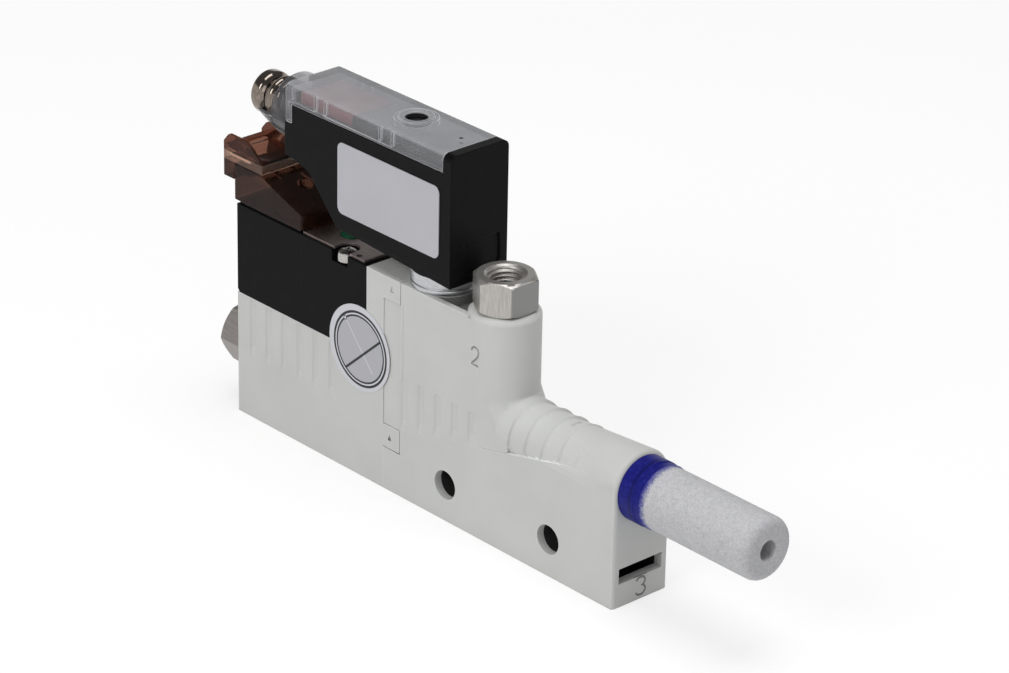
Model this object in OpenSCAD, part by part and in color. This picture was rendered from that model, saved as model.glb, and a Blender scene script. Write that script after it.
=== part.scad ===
// Compact in-line vacuum ejector with solenoid valve, vacuum switch and silencer.
// X runs from the supply port to the silencer, Z is up, and the origin is the centre of the underside.
// Places along X are given from the rear face of the body.

/* [Body] */
// Length of the two-part moulded body
body_l = 97.4; // [96:0.1:104]
// Width of the body
body_w = 12.5; // [12.3:0.1:13.5]
// Length of the rear module that carries the valve
base_l = 39.5; // [39:0.1:41]
// Height of the deck under the valve
deck_h = 23.4; // [23.2:0.1:25]
// Height of the tall top face beside the valve
top_h = 40.4; // [40:0.1:43]
// Thickness of the post in front of the valve
post_l = 4.5; // [3.5:0.1:5]
// Height of the ejector axis
axis_z = 20.75; // [20.4:0.05:21.2]
// Height of the centre of the ribbed arch
arch_z = 20.25; // [19.8:0.05:20.6]
// Length of the cone that rises to the front face
nose_l = 16; // [12:0.5:18]
// Radius of the cone at its large end
nose_r = 6.47; // [6.35:0.01:6.6]
// Radius of the cone at its small end
nose_start_r = 5.5; // [5.2:0.05:5.7]
// Rounding of the front rim
rim_round = 1.0; // [0.5:0.1:1.4]
// Radius of the main bore
main_bore_r = 3.6; // [3.4:0.1:3.9]
// Radius of the small air passages
duct_r = 1.2; // [0.8:0.1:1.4]

/* [Snap tabs] */
// Reach of the tabs past the seam
tab_l = 4.3; // [3:0.1:5]
// Thickness of the tabs
tab_t = 1.1; // [0.8:0.1:1.3]
// Height of the lower tab
tab_h = 4.2; // [3:0.1:5]
// Height of the lower tab's underside
tab_z = 8.1; // [7:0.1:9]
// Gap round the tabs
tab_gap = 0.15; // [0.1:0.05:0.3]

/* [Grip grooves and ribs] */
// Pitch of the grooves
grip_pitch = 4.3; // [4:0.1:4.4]
// Width of a groove
grip_w = 1.7; // [1:0.1:2.2]
// Depth of a groove
grip_d = 0.3; // [0.2:0.05:0.5]
// Height where the rear grooves end
grip_z = 12.0; // [10:0.5:14]
// First groove of the rear module
rear_grip_x = 4.2; // [3:0.1:6]
// Number of grooves in the rear module
rear_grips = 6; // [4:1:7]
// First groove of the front module, from the seam
front_grip = 5.45; // [5:0.05:6.5]
// Number of grooves in the front module
front_grips = 5; // [3:1:5]
// Start of the ribbed arch, from the axis of the vacuum port
rib_start = 7.85; // [7.3:0.05:8.8]
// Pitch of the ribs
rib_pitch = 4.0; // [3.6:0.05:4.3]
// Number of ribs on the arch
ribs = 6; // [3:1:6]
// Depth of the step behind each rib
rib_d = 0.45; // [0.3:0.05:0.6]
// Rise of the line that ends grooves and ribs, in degrees
rise = 12.7; // [11:0.1:14]

/* [Mounting holes] */
// Distance of the rear mounting hole from the seam
rear_hole = 16.2; // [14.5:0.1:17.5]
// Distance of the front mounting hole from the front face
front_hole = 15.8; // [14:0.1:17.5]
// Height of the mounting holes
hole_z = 6.75; // [6:0.05:7.5]
// Radius of the mounting holes
hole_r = 2.65; // [2:0.05:2.8]

/* [Pocket in the top] */
// Depth of the pocket between the switch's ring and the tower
pocket_d = 1.8; // [1:0.1:2.5]
// Thickness of the wall beside the pocket
pocket_wall = 1.15; // [0.9:0.05:1.5]

/* [Exhaust slot] */
// Width of the slot
slot_w = 9.8; // [8:0.1:10.4]
// Height of the slot
slot_h = 2.85; // [2:0.05:3.4]
// Height of the slot's centre
slot_z = 5.7; // [5.3:0.05:6.2]
// Thickness of the front wall that the slot is cut in
slot_wall = 1.75; // [1.2:0.05:2.5]
// Depth of the exhaust chamber's end behind the front face
slot_d = 11; // [6:0.5:12]

/* [Ports] */
// Distance of the vacuum port from the seam
port_reach = 23.75; // [23.3:0.05:24.5]
// Height of the supply port's axis
supply_z = 12.1; // [11.5:0.1:12.6]
// Height of the boss round the vacuum port, over the top face
boss_h = 0.6; // [0.3:0.1:1]
// Width across the flats of the fittings
hex_af = 10; // [9:0.1:10.6]
// Height of the fittings' hexagon
hex_h = 6.3; // [5:0.1:7.5]
// Chamfer height at the corners of the hexagon
hex_chamfer = 0.7; // [0.4:0.05:0.9]
// Radius of the threaded bore
port_r = 3.0; // [2.6:0.05:3.2]
// Radius of the fittings' shank
shank_r = 3.9; // [3.8:0.05:4.2]
// Length of the fittings' shank
shank_l = 8; // [6.5:0.1:9]
// Thickness of the shank's seal ring
seal_t = 0.9; // [0.7:0.05:1.1]

/* [Silencer] */
// Radius of the blue collar
collar_r = 5.8; // [5.5:0.05:5.9]
// Length of the collar in front of the body
collar_l = 5.3; // [4:0.1:7]
// Length of the collar's first step
collar_step = 3.3; // [2:0.1:3.6]
// Radius of the collar's spigot
spigot_r = 4.75; // [4.4:0.05:4.9]
// Length of the collar's spigot
spigot_l = 5; // [3:0.5:6]
// Radius of the porous sleeve
sleeve_r = 5.55; // [5.2:0.05:5.7]
// Length of the porous sleeve
sleeve_l = 23.7; // [20:0.1:30]
// Radius of the hole through the sleeve
sleeve_hole_r = 1.75; // [1.2:0.05:2.2]

/* [Valve] */
// Length of the front part that holds the ducts
duct_part_l = 17.8; // [17:0.1:18.2]
// Radius of the coil
coil_r = 4.9; // [4.4:0.1:5]
// Radius of the plunger
plunger_r = 1.9; // [1.6:0.05:2]
// Travel of the plunger
plunger_travel = 0.5; // [0.3:0.1:0.6]
// Thickness of the flat seal under the valve
gasket_t = 0.5; // [0.3:0.1:0.6]
// Thickness of the metal plate on the valve
plate_t = 0.45; // [0.3:0.05:0.6]
// Distance of the override button from the valve's front end
override_back = 11.1; // [10.8:0.1:12]
// Radius of the override button
override_r = 2.0; // [1.7:0.05:2.1]
// Travel of the override button
override_travel = 0.6; // [0.4:0.1:0.8]
// Distance of the valve screws from the valve's front end
screw_back = 7.1; // [6.6:0.05:7.2]
// Distance of the valve screws from the middle
screw_y = 4.35; // [4.2:0.05:4.4]
// Radius of the valve screws' head
screw_head_r = 1.9; // [1.7:0.05:1.95]

/* [Plug] */
// Thickness of the seal under the plug
plug_gap = 0.5; // [0.4:0.05:0.7]
// Length of the plug's base past the rear face
plug_back = 0.8; // [0.5:0.1:1]
// Reach of the plug's base over the coil part
plug_reach = 0.3; // [0:0.1:0.4]
// Bulge of the plug's front face
plug_bulge = 1.2; // [0.8:0.1:1.3]
// Height of the plug's front edge over the valve
plug_front_h = 3.5; // [3.2:0.1:4.2]
// Start of the plug's sloping top
plug_slope_x = 6.2; // [5:0.1:6.6]
// Height of the flange's underside over the valve
flange_z = 7.4; // [7:0.1:7.8]
// Thickness of the flange
flange_t = 1.9; // [1.6:0.1:2.3]
// Length of the flange in front of the rear face
flange_l = 6.95; // [6:0.05:7.4]
// Length of the flange behind the rear face
flange_back = 3.7; // [3.2:0.1:4.5]
// Height of the ears over the flange
ear_h = 3.2; // [2.5:0.1:4]
// Thickness of the ears
ear_t = 0.65; // [0.5:0.05:0.9]
// Place of the far ear, from the middle
far_ear_y = 2.25; // [1.8:0.05:3]
// Distance of the plug's screw from the plug's front edge
plug_screw_back = 6.4; // [5.9:0.1:6.7]
// Place of the plug's contacts
contact_x = 6.5; // [6:0.1:7]

/* [Vacuum switch] */
// Reach of the switch past the seam
switch_reach = 16.9; // [16.5:0.1:17.2]
// Length of the switch
switch_l = 43; // [42.6:0.1:43.4]
// Width of the switch
switch_w = 12.8; // [12.6:0.1:13.4]
// Underside of the switch over the top face, at its front
switch_gap = 3.1; // [2.8:0.1:3.4]
// Height of the black housing over its underside
housing_h = 20.4; // [20:0.1:21.5]
// Height of the clear lid
lid_h = 3.6; // [3.2:0.1:4.2]
// Wall of the lid
lid_wall = 0.9; // [0.7:0.05:1.1]
// Radius of the rounded top edges
top_round = 1.3; // [0.8:0.1:1.6]
// Thickness of the housing's front wall beside the lid
front_wall = 2.0; // [1.6:0.1:2.4]
// Place of the teach button, from the front face of the switch
teach_x = 16.8; // [16:0.1:18]
// Offset of the teach button from the middle
teach_y = 0.7; // [0:0.1:1]
// Radius of the hole over the teach button
teach_hole_r = 1.95; // [1.8:0.05:2.1]
// Travel of the teach button
teach_travel = 0.5; // [0.3:0.1:0.6]
// Place of the metal base ring, from the front face of the switch
ring_x = 8.0; // [7.6:0.1:8.4]
// Radius of the metal base ring
ring_r = 6.1; // [5.8:0.05:6.15]

/* [Round connector] */
// Height of the connector's axis over the switch's underside
m8_up = 16.95; // [16.6:0.05:17.2]
// Radius of the connector
m8_r = 4.0; // [3.9:0.05:4.05]
// Free length of the connector behind the switch
m8_l = 12.4; // [12:0.1:13.5]
// Radius of the collar round the connector's root
neck_r = 6.0; // [5.6:0.1:6.1]
// Length of the collar round the connector's root
neck_l = 4.9; // [4:0.1:5.2]

/* [Labels] */
// Length of the switch's label
label_l = 26.0; // [20:0.5:28]
// Height of the switch's label
label_h = 13.1; // [10:0.1:14]
// Radius of the round sticker
sticker_r = 8.5; // [7:0.1:8.9]
// Thickness of the label and the sticker
label_t = 0.15; // [0.1:0.01:0.2]

/* [Hidden] */
$fn = 64;

// Gap between pieces that slide into each other
slip = 0.05;
// Cuts run this far past the face that they open
over = 1;
half_w = body_w / 2;
valve_h = top_h - deck_h;
valve_l = base_l - post_l;
coil_l = valve_l - duct_part_l;
override_x = valve_l - override_back;
screw_x = valve_l - screw_back;
valve_mid_z = deck_h + valve_h / 2;
strip_end = base_l + tab_l + tab_gap;
riser_x = coil_l + 2.4;
outlet_x = valve_l - 5;
bobbin_x = 2.5;
bobbin_wall = 0.8;
winding_r = plunger_r + 0.9;
core_l = 6;
// Depth to which the plug's screw and contacts go into the cover over the coil
bite = 0.6 * (valve_h / 2 - coil_r);
top_tab_z = top_h - tab_h;
tower_r = half_w;
tower_z = top_h + boss_h;
port_x = base_l + port_reach;
nose_x = body_l - nose_l;
rim_x = body_l - rim_round;
rib_step_l = 0.12;
rib_crest_l = 0.25;
rib_crest_d = 0.14;
rib_x = port_x + rib_start;
front_grip_x = base_l + front_grip;
hole_x = [base_l + rear_hole, body_l - front_hole];
grip_top = deck_h - 0.4;
chamber_wall = 1.2;
chamber_low = 1.6;
chamber_h = slot_z + slot_h / 2 + 4 - chamber_low;
hex_ac = hex_af / sqrt(3);
spigot_bore_r = spigot_r + slip;
shank_bore_r = shank_r + slip;
seal_r = shank_r - seal_t + 0.2;
seal_z = 1.0;
port_floor = 3;
plug_z = top_h + plug_gap;
plug_l = coil_l + plug_reach;
plug_screw_x = plug_l - plug_screw_back;
plug_slope = (flange_z - plug_front_h) / (plug_l - plug_slope_x);
flange_low = top_h + flange_z;
flange_top = flange_low + flange_t;
ear_x = -flange_back;
socket_w = 7.2;
socket_h = 3.0;
socket_z = flange_low - 1;
socket_depth = 5.5;
contact_z = socket_z - 0.9;
contact_start = ear_x + 1.2;
skirt_h = 3.2;
ear_slope_x = ear_x + 6.4;
pin_y = 1.8;
pin_w = 0.6;
housing_z = top_h + switch_gap;
lip_h = 1.2;
bevel_l = 13.8;
bevel_h = 10.8;
lid_z = housing_z + housing_h;
switch_top = lid_z + lid_h;
switch_front = base_l + switch_reach;
switch_x = switch_front - switch_l;
lid_front = switch_front - front_wall;
half_sw = switch_w / 2;
cavity_wall = 1.3;
board_t = 1.0;
board_inset = 2;
window_l = 13.5;
window_h = 2.2;
board_z = lid_z - 1.3;
cavity_floor = housing_z + 12;
hub_r = 4.5;
hub_h = 2;
sensor_r = 3;
teach_u = switch_front - teach_x;
ring_u = switch_front - ring_x;
m8_z = housing_z + m8_up;
m8_bore_r = m8_r - 0.9;
m8_pin_r = 0.5;
m8_root_r = 3.4;
m8_tail_r = 2.9;
m8_step = m8_l - neck_l;
m8_seat = 4.3;
cradle_l = 5.2;
teach_switch_h = 1.2;
teach_stem_r = 1.0;
leg_l = 1.9;
leg_h = 3.5;
jet_x = base_l;
jet_end = port_x - 3.2;
receiver_x = port_x + 2.8;
receiver_end = body_l - spigot_l;
nozzle_r = main_bore_r - slip;
stem_r = 2.6;
stem_l = 8;
sticker_x = base_l - 6.2;
sticker_z = deck_h + 1.05;
label_edge = 2.8;
label_x = switch_front - label_edge - label_l;
label_z = housing_z + 4.6;

// ---- Placing helpers: u is a place along X from the rear face of the body

module at(u, y = 0, z = 0) translate([u - body_l / 2, y, z]) children();

// A revolve about an axis along X; the profile is [radius, place along X]
module lathe_x(u, z, y = 0) at(u, y, z) rotate([0, 90, 0]) rotate_extrude() children();

module rod_x(u, z, r, l, y = 0) at(u, y, z) rotate([0, 90, 0]) cylinder(r = r, h = l);

module rod_y(u, z, r) at(u, -half_w - over, z) rotate([-90, 0, 0]) cylinder(r = r, h = body_w + 2 * over);

// A block given by its rear face, its full width across Y and its underside
module block(u, z, l, w, h, y = 0) at(u, y - w / 2, z) cube([l, w, h]);

// A side outline in X and Z, carried across the width
module side_slab(points, w, y = 0)
    at(0, y + w / 2, 0) rotate([90, 0, 0]) linear_extrude(w) polygon(points);

module both_sides() {
    children();
    mirror([0, 1, 0]) children();
}

function tube_profile(r_in, r_out, l) = [[r_in, 0], [r_out, 0], [r_out, l], [r_in, l]];

// ---- Body

// Height of the rising line that ends the grooves and ribs of the front module
function rise_z(u) = grip_z + 0.7 + tan(rise) * (u - front_grip_x + 0.7);

module grip_groove(u, z) {
    both_sides() at(u - grip_w / 2, -half_w, z)
        linear_extrude(grip_top - z) polygon([
            [0, -over], [0, 0], [grip_d, grip_d], [grip_w - grip_d, grip_d], [grip_w, 0], [grip_w, -over]
        ]);
}

module tab_pair(z, grow) {
    both_sides() at(base_l - over, -half_w - grow, z - grow)
        cube([tab_l + over + grow, tab_t + 2 * grow, tab_h + 2 * grow]);
}

module valve_base() {
    color("gainsboro") {
        difference() {
            union() {
                block(0, 0, base_l, body_w, deck_h);
                block(valve_l, deck_h - over, post_l, body_w, valve_h + over);
                tab_pair(tab_z, 0);
                tab_pair(top_tab_z, 0);
            }
            for (i = [0 : rear_grips - 1]) grip_groove(rear_grip_x + i * grip_pitch, grip_z);
            // Supply port, its duct and the riser to the valve
            rod_x(-over, supply_z, shank_bore_r, shank_l + over + 0.6);
            rod_x(0, supply_z, duct_r, riser_x);
            at(riser_x, 0, supply_z) cylinder(r = duct_r, h = deck_h);
            // Duct from the valve down to the jet nozzle
            at(outlet_x, 0, axis_z) cylinder(r = duct_r, h = deck_h);
            rod_x(outlet_x, axis_z, duct_r, base_l - outlet_x + over);
            gasket_seat();
            // Screw holes of the valve
            valve_screw_places() translate([0, 0, deck_h - 5]) cylinder(r = 0.9, h = 5 + over);
        }
    }
}

module arch_outline() {
    translate([-half_w, 0]) square([body_w, arch_z]);
    translate([0, arch_z]) circle(r = half_w);
}

// The arch outline, run along X from one place to another
module arch_run(u, l) at(u) rotate([90, 0, 90]) linear_extrude(l) arch_outline();

module tower_boss() {
    // Turned boss with a rounded top edge
    at(port_x) translate([0, 0, top_h - 0.5]) rotate_extrude() {
        square([tower_r - 1, boss_h + 0.5]);
        square([tower_r, boss_h - 0.5]);
        translate([tower_r - 1, boss_h - 0.5]) circle(r = 1);
    }
}

// Upper half of the cone that rises to a rounded rim at the front face, cut flush with the flat sides
module nose() {
    intersection() {
        lathe_x(nose_x, axis_z) {
            polygon([[0, 0], [nose_start_r, 0], [nose_r, nose_l - rim_round], [0, nose_l - rim_round]]);
            square([nose_r - rim_round, nose_l]);
            translate([nose_r - rim_round, nose_l - rim_round]) circle(r = rim_round);
        }
        block(nose_x - over, axis_z, nose_l + 2 * over, body_w, top_h - axis_z);
    }
}

// Fillet round the foot of the tower, on the arch
module tower_foot() {
    intersection() {
        at(port_x, 0, arch_z) cylinder(r1 = tower_r + 2, r2 = tower_r - 0.2, h = tower_r + 1);
        block(port_x, arch_z, 2 * tower_r, body_w, tower_r + 2);
    }
}

// Block under the cone, which carries the round of its rim down the front edges
module front_block() {
    intersection() {
        union() {
            block(rim_x, 0, rim_round, 2 * (nose_r - rim_round), axis_z);
            both_sides() at(rim_x, nose_r - rim_round) cylinder(r = rim_round, h = axis_z);
        }
        block(rim_x - 2 * rim_round, 0, 4 * rim_round, body_w, axis_z);
    }
}

module rib_step(u) {
    // One rib: a steep step down at its rear, then a slow rise to the crest before the next
    lathe_x(u, arch_z) polygon([
        [half_w, 0], [half_w - rib_d, rib_step_l], [half_w - rib_crest_d, rib_pitch - rib_crest_l],
        [half_w, rib_pitch], [half_w + 2, rib_pitch], [half_w + 2, 0]
    ]);
}

module above_rise() {
    // The room above the rising line
    at(0, half_w + over, 0) rotate([90, 0, 0]) linear_extrude(body_w + 2 * over)
        polygon([[rib_x - 2, rise_z(rib_x - 2)], [body_l, rise_z(body_l)], [body_l, top_h], [rib_x - 2, top_h]]);
}

// Pocket in the top face between the switch's ring and the tower
module top_pocket() {
    difference() {
        block(ring_u, top_h - pocket_d, port_x - ring_u, body_w - 2 * pocket_wall, pocket_d + over);
        at(ring_u) cylinder(r = ring_r, h = top_h + 2 * over);
        at(port_x) cylinder(r = tower_r, h = top_h + 2 * over);
    }
}

module ejector_body() {
    color("gainsboro") {
        difference() {
            union() {
                difference() {
                    arch_run(base_l, rim_x - base_l);
                    // Ribs, cut above the rising line
                    intersection() {
                        union() for (i = [0 : ribs - 1]) rib_step(rib_x + i * rib_pitch);
                        above_rise();
                    }
                }
                front_block();
                nose();
                tower_foot();
                // Tall part with its round front
                at(base_l, -half_w, 0) cube([port_x - base_l, body_w, top_h - 0.5]);
                at(base_l, -half_w, top_h - over) cube([port_x - base_l - 2.4, body_w, over]);
                at(port_x) cylinder(r = tower_r, h = top_h - 0.5);
                tower_boss();
            }
            for (i = [0 : front_grips - 1])
                grip_groove(front_grip_x + i * grip_pitch, rise_z(front_grip_x + i * grip_pitch));
            // Pockets for the snap tabs, with a shallow strip between them
            tab_pair(tab_z, tab_gap);
            tab_pair(top_tab_z, tab_gap);
            both_sides() at(base_l - over, -half_w - over, tab_z + tab_h)
                cube([strip_end - base_l + over, over + 0.15, top_tab_z - tab_z - tab_h]);
            // Mounting holes
            for (u = hole_x) rod_y(u, hole_z, hole_r);
            // Slot in the front face, with the wider exhaust chamber behind it
            block(body_l - slot_d, slot_z - slot_h / 2, slot_d + over, slot_w, slot_h);
            block(body_l - slot_d, chamber_low, slot_d - slot_wall, body_w - 2 * chamber_wall, chamber_h);
            top_pocket();
            // Main bore and the seat of the silencer's spigot
            rod_x(base_l - over, axis_z, main_bore_r, body_l - base_l + 2 * over);
            rod_x(body_l - spigot_l, axis_z, spigot_bore_r, spigot_l + over);
            // Vacuum port
            at(port_x) translate([0, 0, tower_z - shank_l - 0.6]) cylinder(r = shank_bore_r, h = shank_l + over + 0.6);
            at(port_x) translate([0, 0, axis_z]) cylinder(r = 2.2, h = top_h - axis_z);
            // Switch port and its duct to the vacuum side
            at(ring_u) translate([0, 0, top_h - stem_l - 0.5]) cylinder(r = stem_r + slip, h = stem_l + over + 0.5);
            rod_x(ring_u, top_h - stem_l - 1.5, duct_r, port_x - ring_u);
            at(ring_u) translate([0, 0, top_h - stem_l - 1.5]) cylinder(r = duct_r, h = 2);
        }
    }
}

// ---- Ports

// Hexagonal fitting: its seat is at z = 0, its shank points down and its bore is open at the top
module hex_fitting() {
    difference() {
        union() {
            intersection() {
                rotate(30) cylinder(r = hex_ac, h = hex_h, $fn = 6);
                rotate_extrude() polygon([
                    [0, 0], [hex_af / 2 - 0.15, 0], [hex_ac + 0.05, hex_chamfer],
                    [hex_ac + 0.05, hex_h - hex_chamfer], [hex_af / 2 - 0.15, hex_h], [0, hex_h]
                ]);
            }
            // Shank with the groove of its seal
            translate([0, 0, -shank_l]) rotate_extrude() polygon([
                [0, 0], [shank_r - 0.4, 0], [shank_r, 0.4], [shank_r, seal_z], [seal_r, seal_z],
                [seal_r, seal_z + seal_t], [shank_r, seal_z + seal_t], [shank_r, shank_l + 0.5], [0, shank_l + 0.5]
            ]);
        }
        // The shank's lower end is narrower, the threaded bore is above it
        translate([0, 0, -shank_l - over]) cylinder(r = duct_r + 0.6, h = shank_l + hex_h + 2 * over);
        translate([0, 0, port_floor - shank_l]) cylinder(r = port_r, h = shank_l + hex_h);
        translate([0, 0, hex_h - 0.6]) cylinder(r1 = port_r, r2 = port_r + 0.75, h = 0.65);
    }
}

module port_ring() {
    translate([0, 0, seal_z - shank_l]) rotate_extrude() polygon(tube_profile(seal_r, shank_bore_r, seal_t));
}

module at_vacuum_port() at(port_x, 0, tower_z) children();

module at_supply_port() at(0, 0, supply_z) rotate([0, -90, 0]) children();

module vacuum_port_fitting() color("silver") at_vacuum_port() hex_fitting();

module supply_port_fitting() color("silver") at_supply_port() hex_fitting();

module vacuum_port_seal() color("black") at_vacuum_port() port_ring();

module supply_port_seal() color("black") at_supply_port() port_ring();

// ---- Ejector stage

module jet_nozzle() {
    l = jet_end - jet_x;
    color("goldenrod") lathe_x(jet_x, axis_z) polygon([
        [1.6, 0], [nozzle_r, 0], [nozzle_r, 1.2], [nozzle_r - seal_t, 1.2], [nozzle_r - seal_t, 1.2 + seal_t],
        [nozzle_r, 1.2 + seal_t], [nozzle_r, l - 7], [1.7, l], [0.75, l], [0.45, l - 5], [0.9, 3]
    ]);
}

module receiver_nozzle() {
    l = receiver_end - receiver_x;
    color("goldenrod") lathe_x(receiver_x, axis_z) polygon([
        [2.2, 0], [nozzle_r, 1], [nozzle_r, 2], [nozzle_r - seal_t, 2], [nozzle_r - seal_t, 2 + seal_t],
        [nozzle_r, 2 + seal_t], [nozzle_r, 5], [2.7, 5.5], [2.7, l - 1.5], [nozzle_r, l - 1.5], [nozzle_r, l],
        [1.9, l], [0.9, 9], [0.9, 4]
    ]);
}

module nozzle_ring(u) {
    lathe_x(u, axis_z) polygon(tube_profile(nozzle_r - seal_t, main_bore_r, seal_t));
}

module nozzle_seals() {
    color("black") {
        nozzle_ring(jet_x + 1.2);
        nozzle_ring(receiver_x + 2);
    }
}

// ---- Silencer

module silencer_collar() {
    color("navy") lathe_x(body_l - spigot_l, axis_z) polygon([
        [3, 0], [spigot_r - 0.3, 0], [spigot_r, 0.3], [spigot_r, spigot_l], [collar_r, spigot_l],
        [collar_r, spigot_l + collar_step], [collar_r - 0.2, spigot_l + collar_step + 0.2],
        [collar_r - 0.2, spigot_l + collar_l], [3, spigot_l + collar_l]
    ]);
}

module silencer_sleeve() {
    color("lavender") lathe_x(body_l + collar_l, axis_z) difference() {
        union() {
            translate([sleeve_hole_r, 0]) square([sleeve_r - sleeve_hole_r, sleeve_l - 1.2]);
            translate([sleeve_hole_r, 0]) square([sleeve_r - 1.2 - sleeve_hole_r, sleeve_l]);
            translate([sleeve_r - 1.2, sleeve_l - 1.2]) circle(r = 1.2);
        }
        // Wider room behind the collar
        translate([0, -0.01]) square([3, 3]);
    }
}

// ---- Valve

module valve_screw_places() for (s = [-1, 1]) at(screw_x, s * screw_y) children();

module gasket_seat() block(2, deck_h - gasket_t / 2, valve_l - 4, body_w - 2.5, over);

module valve_gasket() {
    color("black") difference() {
        block(2 + slip, deck_h - gasket_t / 2, valve_l - 4 - 2 * slip, body_w - 2.5 - 2 * slip, gasket_t);
        for (u = [riser_x, outlet_x]) at(u, 0, deck_h - over) cylinder(r = duct_r, h = 2 * over);
        valve_screw_places() translate([0, 0, deck_h - over]) cylinder(r = 1.1, h = 2 * over);
    }
}

module valve_body() {
    color("dimgray") difference() {
        block(coil_l, deck_h, valve_l - coil_l, body_w, valve_h);
        block(2, deck_h - over, valve_l - 4, body_w - 2.5, over + gasket_t / 2);
        // Pockets for the screw heads, open to the sides
        valve_screw_places() {
            translate([0, 0, top_h - 2]) cylinder(r = screw_head_r + 0.2, h = 2 + over);
            translate([0, 0, deck_h - over]) cylinder(r = 0.9, h = valve_h);
        }
        both_sides() at(screw_x - screw_head_r - 0.2, -half_w - over, top_h - 2)
            cube([2 * screw_head_r + 0.4, half_w - screw_y + over, 2 + over]);
        // Shaft of the override button
        at(override_x, 0, top_h - 3.6) cylinder(r = override_r + slip, h = 3.6 + over);
        // Bore of the plunger and the ducts to the deck
        rod_x(coil_l - over, valve_mid_z, plunger_r + slip, over + riser_x + duct_r - 0.5 - coil_l);
        rod_x(coil_l, valve_mid_z, duct_r, outlet_x - coil_l);
        for (u = [riser_x, outlet_x]) at(u, 0, deck_h - over) cylinder(r = duct_r, h = valve_h / 2 + over);
    }
}

module coil_housing() {
    color("black") difference() {
        side_slab([[0.6, deck_h], [coil_l, deck_h], [coil_l, top_h], [0, top_h], [0, deck_h + 0.6]], body_w);
        block(2, deck_h - over, valve_l - 4, body_w - 2.5, over + gasket_t / 2);
        // Room for the coil and the seat of the fixed core
        rod_x(bobbin_x, valve_mid_z, coil_r + 0.1, coil_l);
        // Slots for the contacts of the plug
        both_sides() at(contact_x - slip, pin_y - pin_w / 2 - slip, top_h - bite)
            cube([pin_w + 2 * slip, pin_w + 2 * slip, bite + over]);
        at(plug_screw_x, 0, top_h - bite - 0.1) cylinder(r = 0.8, h = bite + over);
    }
}

module coil_bobbin() {
    l = coil_l - bobbin_x;
    color("ivory") lathe_x(bobbin_x, valve_mid_z) polygon([
        [plunger_r + slip, 0], [coil_r, 0], [coil_r, bobbin_wall], [winding_r, bobbin_wall],
        [winding_r, l - bobbin_wall], [coil_r, l - bobbin_wall], [coil_r, l], [plunger_r + slip, l]
    ]);
}

module coil_winding() {
    color("chocolate") lathe_x(bobbin_x + bobbin_wall, valve_mid_z)
        polygon(tube_profile(winding_r, coil_r - 0.15, coil_l - bobbin_x - 2 * bobbin_wall));
}

module fixed_core() color("silver") rod_x(bobbin_x, valve_mid_z, plunger_r, core_l);

module plunger() {
    start = bobbin_x + core_l + plunger_travel + 0.1;
    color("silver") rod_x(start, valve_mid_z, plunger_r, riser_x + duct_r - 0.5 - start);
}

module valve_plate() {
    color("rosybrown") difference() {
        block(coil_l + 0.3, top_h, valve_l - 1.5 - coil_l, body_w - 1, plate_t);
        at(override_x, 0, top_h - over) cylinder(r = override_r + 0.1, h = 3);
        valve_screw_places() translate([0, 0, top_h - over]) cylinder(r = screw_head_r + 0.15, h = 3);
        both_sides() {
            at(screw_x - screw_head_r - 0.15, -half_w - over, top_h - over)
                cube([2 * screw_head_r + 0.3, half_w - screw_y + over, 3]);
            at(screw_x + 3.7, screw_y + 0.6, top_h - over) cylinder(r = 0.55, h = 3);
        }
    }
}

module valve_screws() {
    color("silver") valve_screw_places() {
        translate([0, 0, top_h - 2]) rotate_extrude() difference() {
            union() {
                square([screw_head_r, 2]);
                square([screw_head_r - 0.4, 2.35]);
            }
            translate([0, 1.6]) square([0.6, over]);
        }
        translate([0, 0, deck_h - 4.5]) cylinder(r = 0.85, h = top_h - 1.8 - deck_h + 4.5);
    }
}

module override_button() {
    color("seagreen") difference() {
        at(override_x, 0, top_h - 2.6) cylinder(r = override_r, h = 3.3);
        at(override_x - 1.2, -0.25, top_h + 0.4) cube([2.4, 0.5, over]);
    }
}

// ---- Plug on the valve

module socket_mouth() block(-flange_back - over, socket_z - socket_h / 2, socket_depth + over, socket_w, socket_h);

module contact_slots() {
    both_sides() at(contact_x - slip, pin_y - pin_w / 2 - slip, top_h - over)
        cube([pin_w + 2 * slip, pin_w + 2 * slip, contact_z - top_h + over + pin_w / 2 + slip]);
    both_sides() at(1, pin_y - pin_w / 2 - slip, contact_z - pin_w / 2 - slip)
        cube([contact_x - 1 + pin_w + slip, pin_w + 2 * slip, pin_w + 2 * slip]);
}

module plug_gasket() {
    color("black") difference() {
        block(0.3, top_h, coil_l - 0.8, body_w - 1, plug_gap);
        contact_slots();
        at(plug_screw_x, 0, top_h - over) cylinder(r = 1, h = 3);
    }
}

module plug_outline() {
    // Plan of the plug's base: straight sides and a bulging front
    chord = half_w - 0.05;
    bulge_r = (chord * chord + plug_bulge * plug_bulge) / (2 * plug_bulge);
    at(0, -chord, plug_z) translate([-plug_back, 0, 0]) cube([plug_l + plug_back, 2 * chord, flange_z]);
    intersection() {
        at(plug_l + plug_bulge - bulge_r, 0, plug_z) cylinder(r = bulge_r, h = flange_z, $fn = 128);
        at(plug_l - 2, -chord, plug_z) cube([4, 2 * chord, flange_z]);
    }
}

module plug_base() {
    color("saddlebrown") difference() {
        intersection() {
            plug_outline();
            side_slab([[-plug_back, top_h], [plug_l + 3, top_h], [plug_l + 3, top_h + plug_front_h - 3 * plug_slope],
                [plug_slope_x, flange_low], [-plug_back, flange_low]], body_w + 2);
        }
        socket_mouth();
        contact_slots();
        at(plug_screw_x, 0, top_h) cylinder(r = 0.9, h = flange_z);
        at(plug_screw_x, 0, top_h + 3.6) cylinder(r = 1.3, h = flange_z);
    }
}

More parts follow.
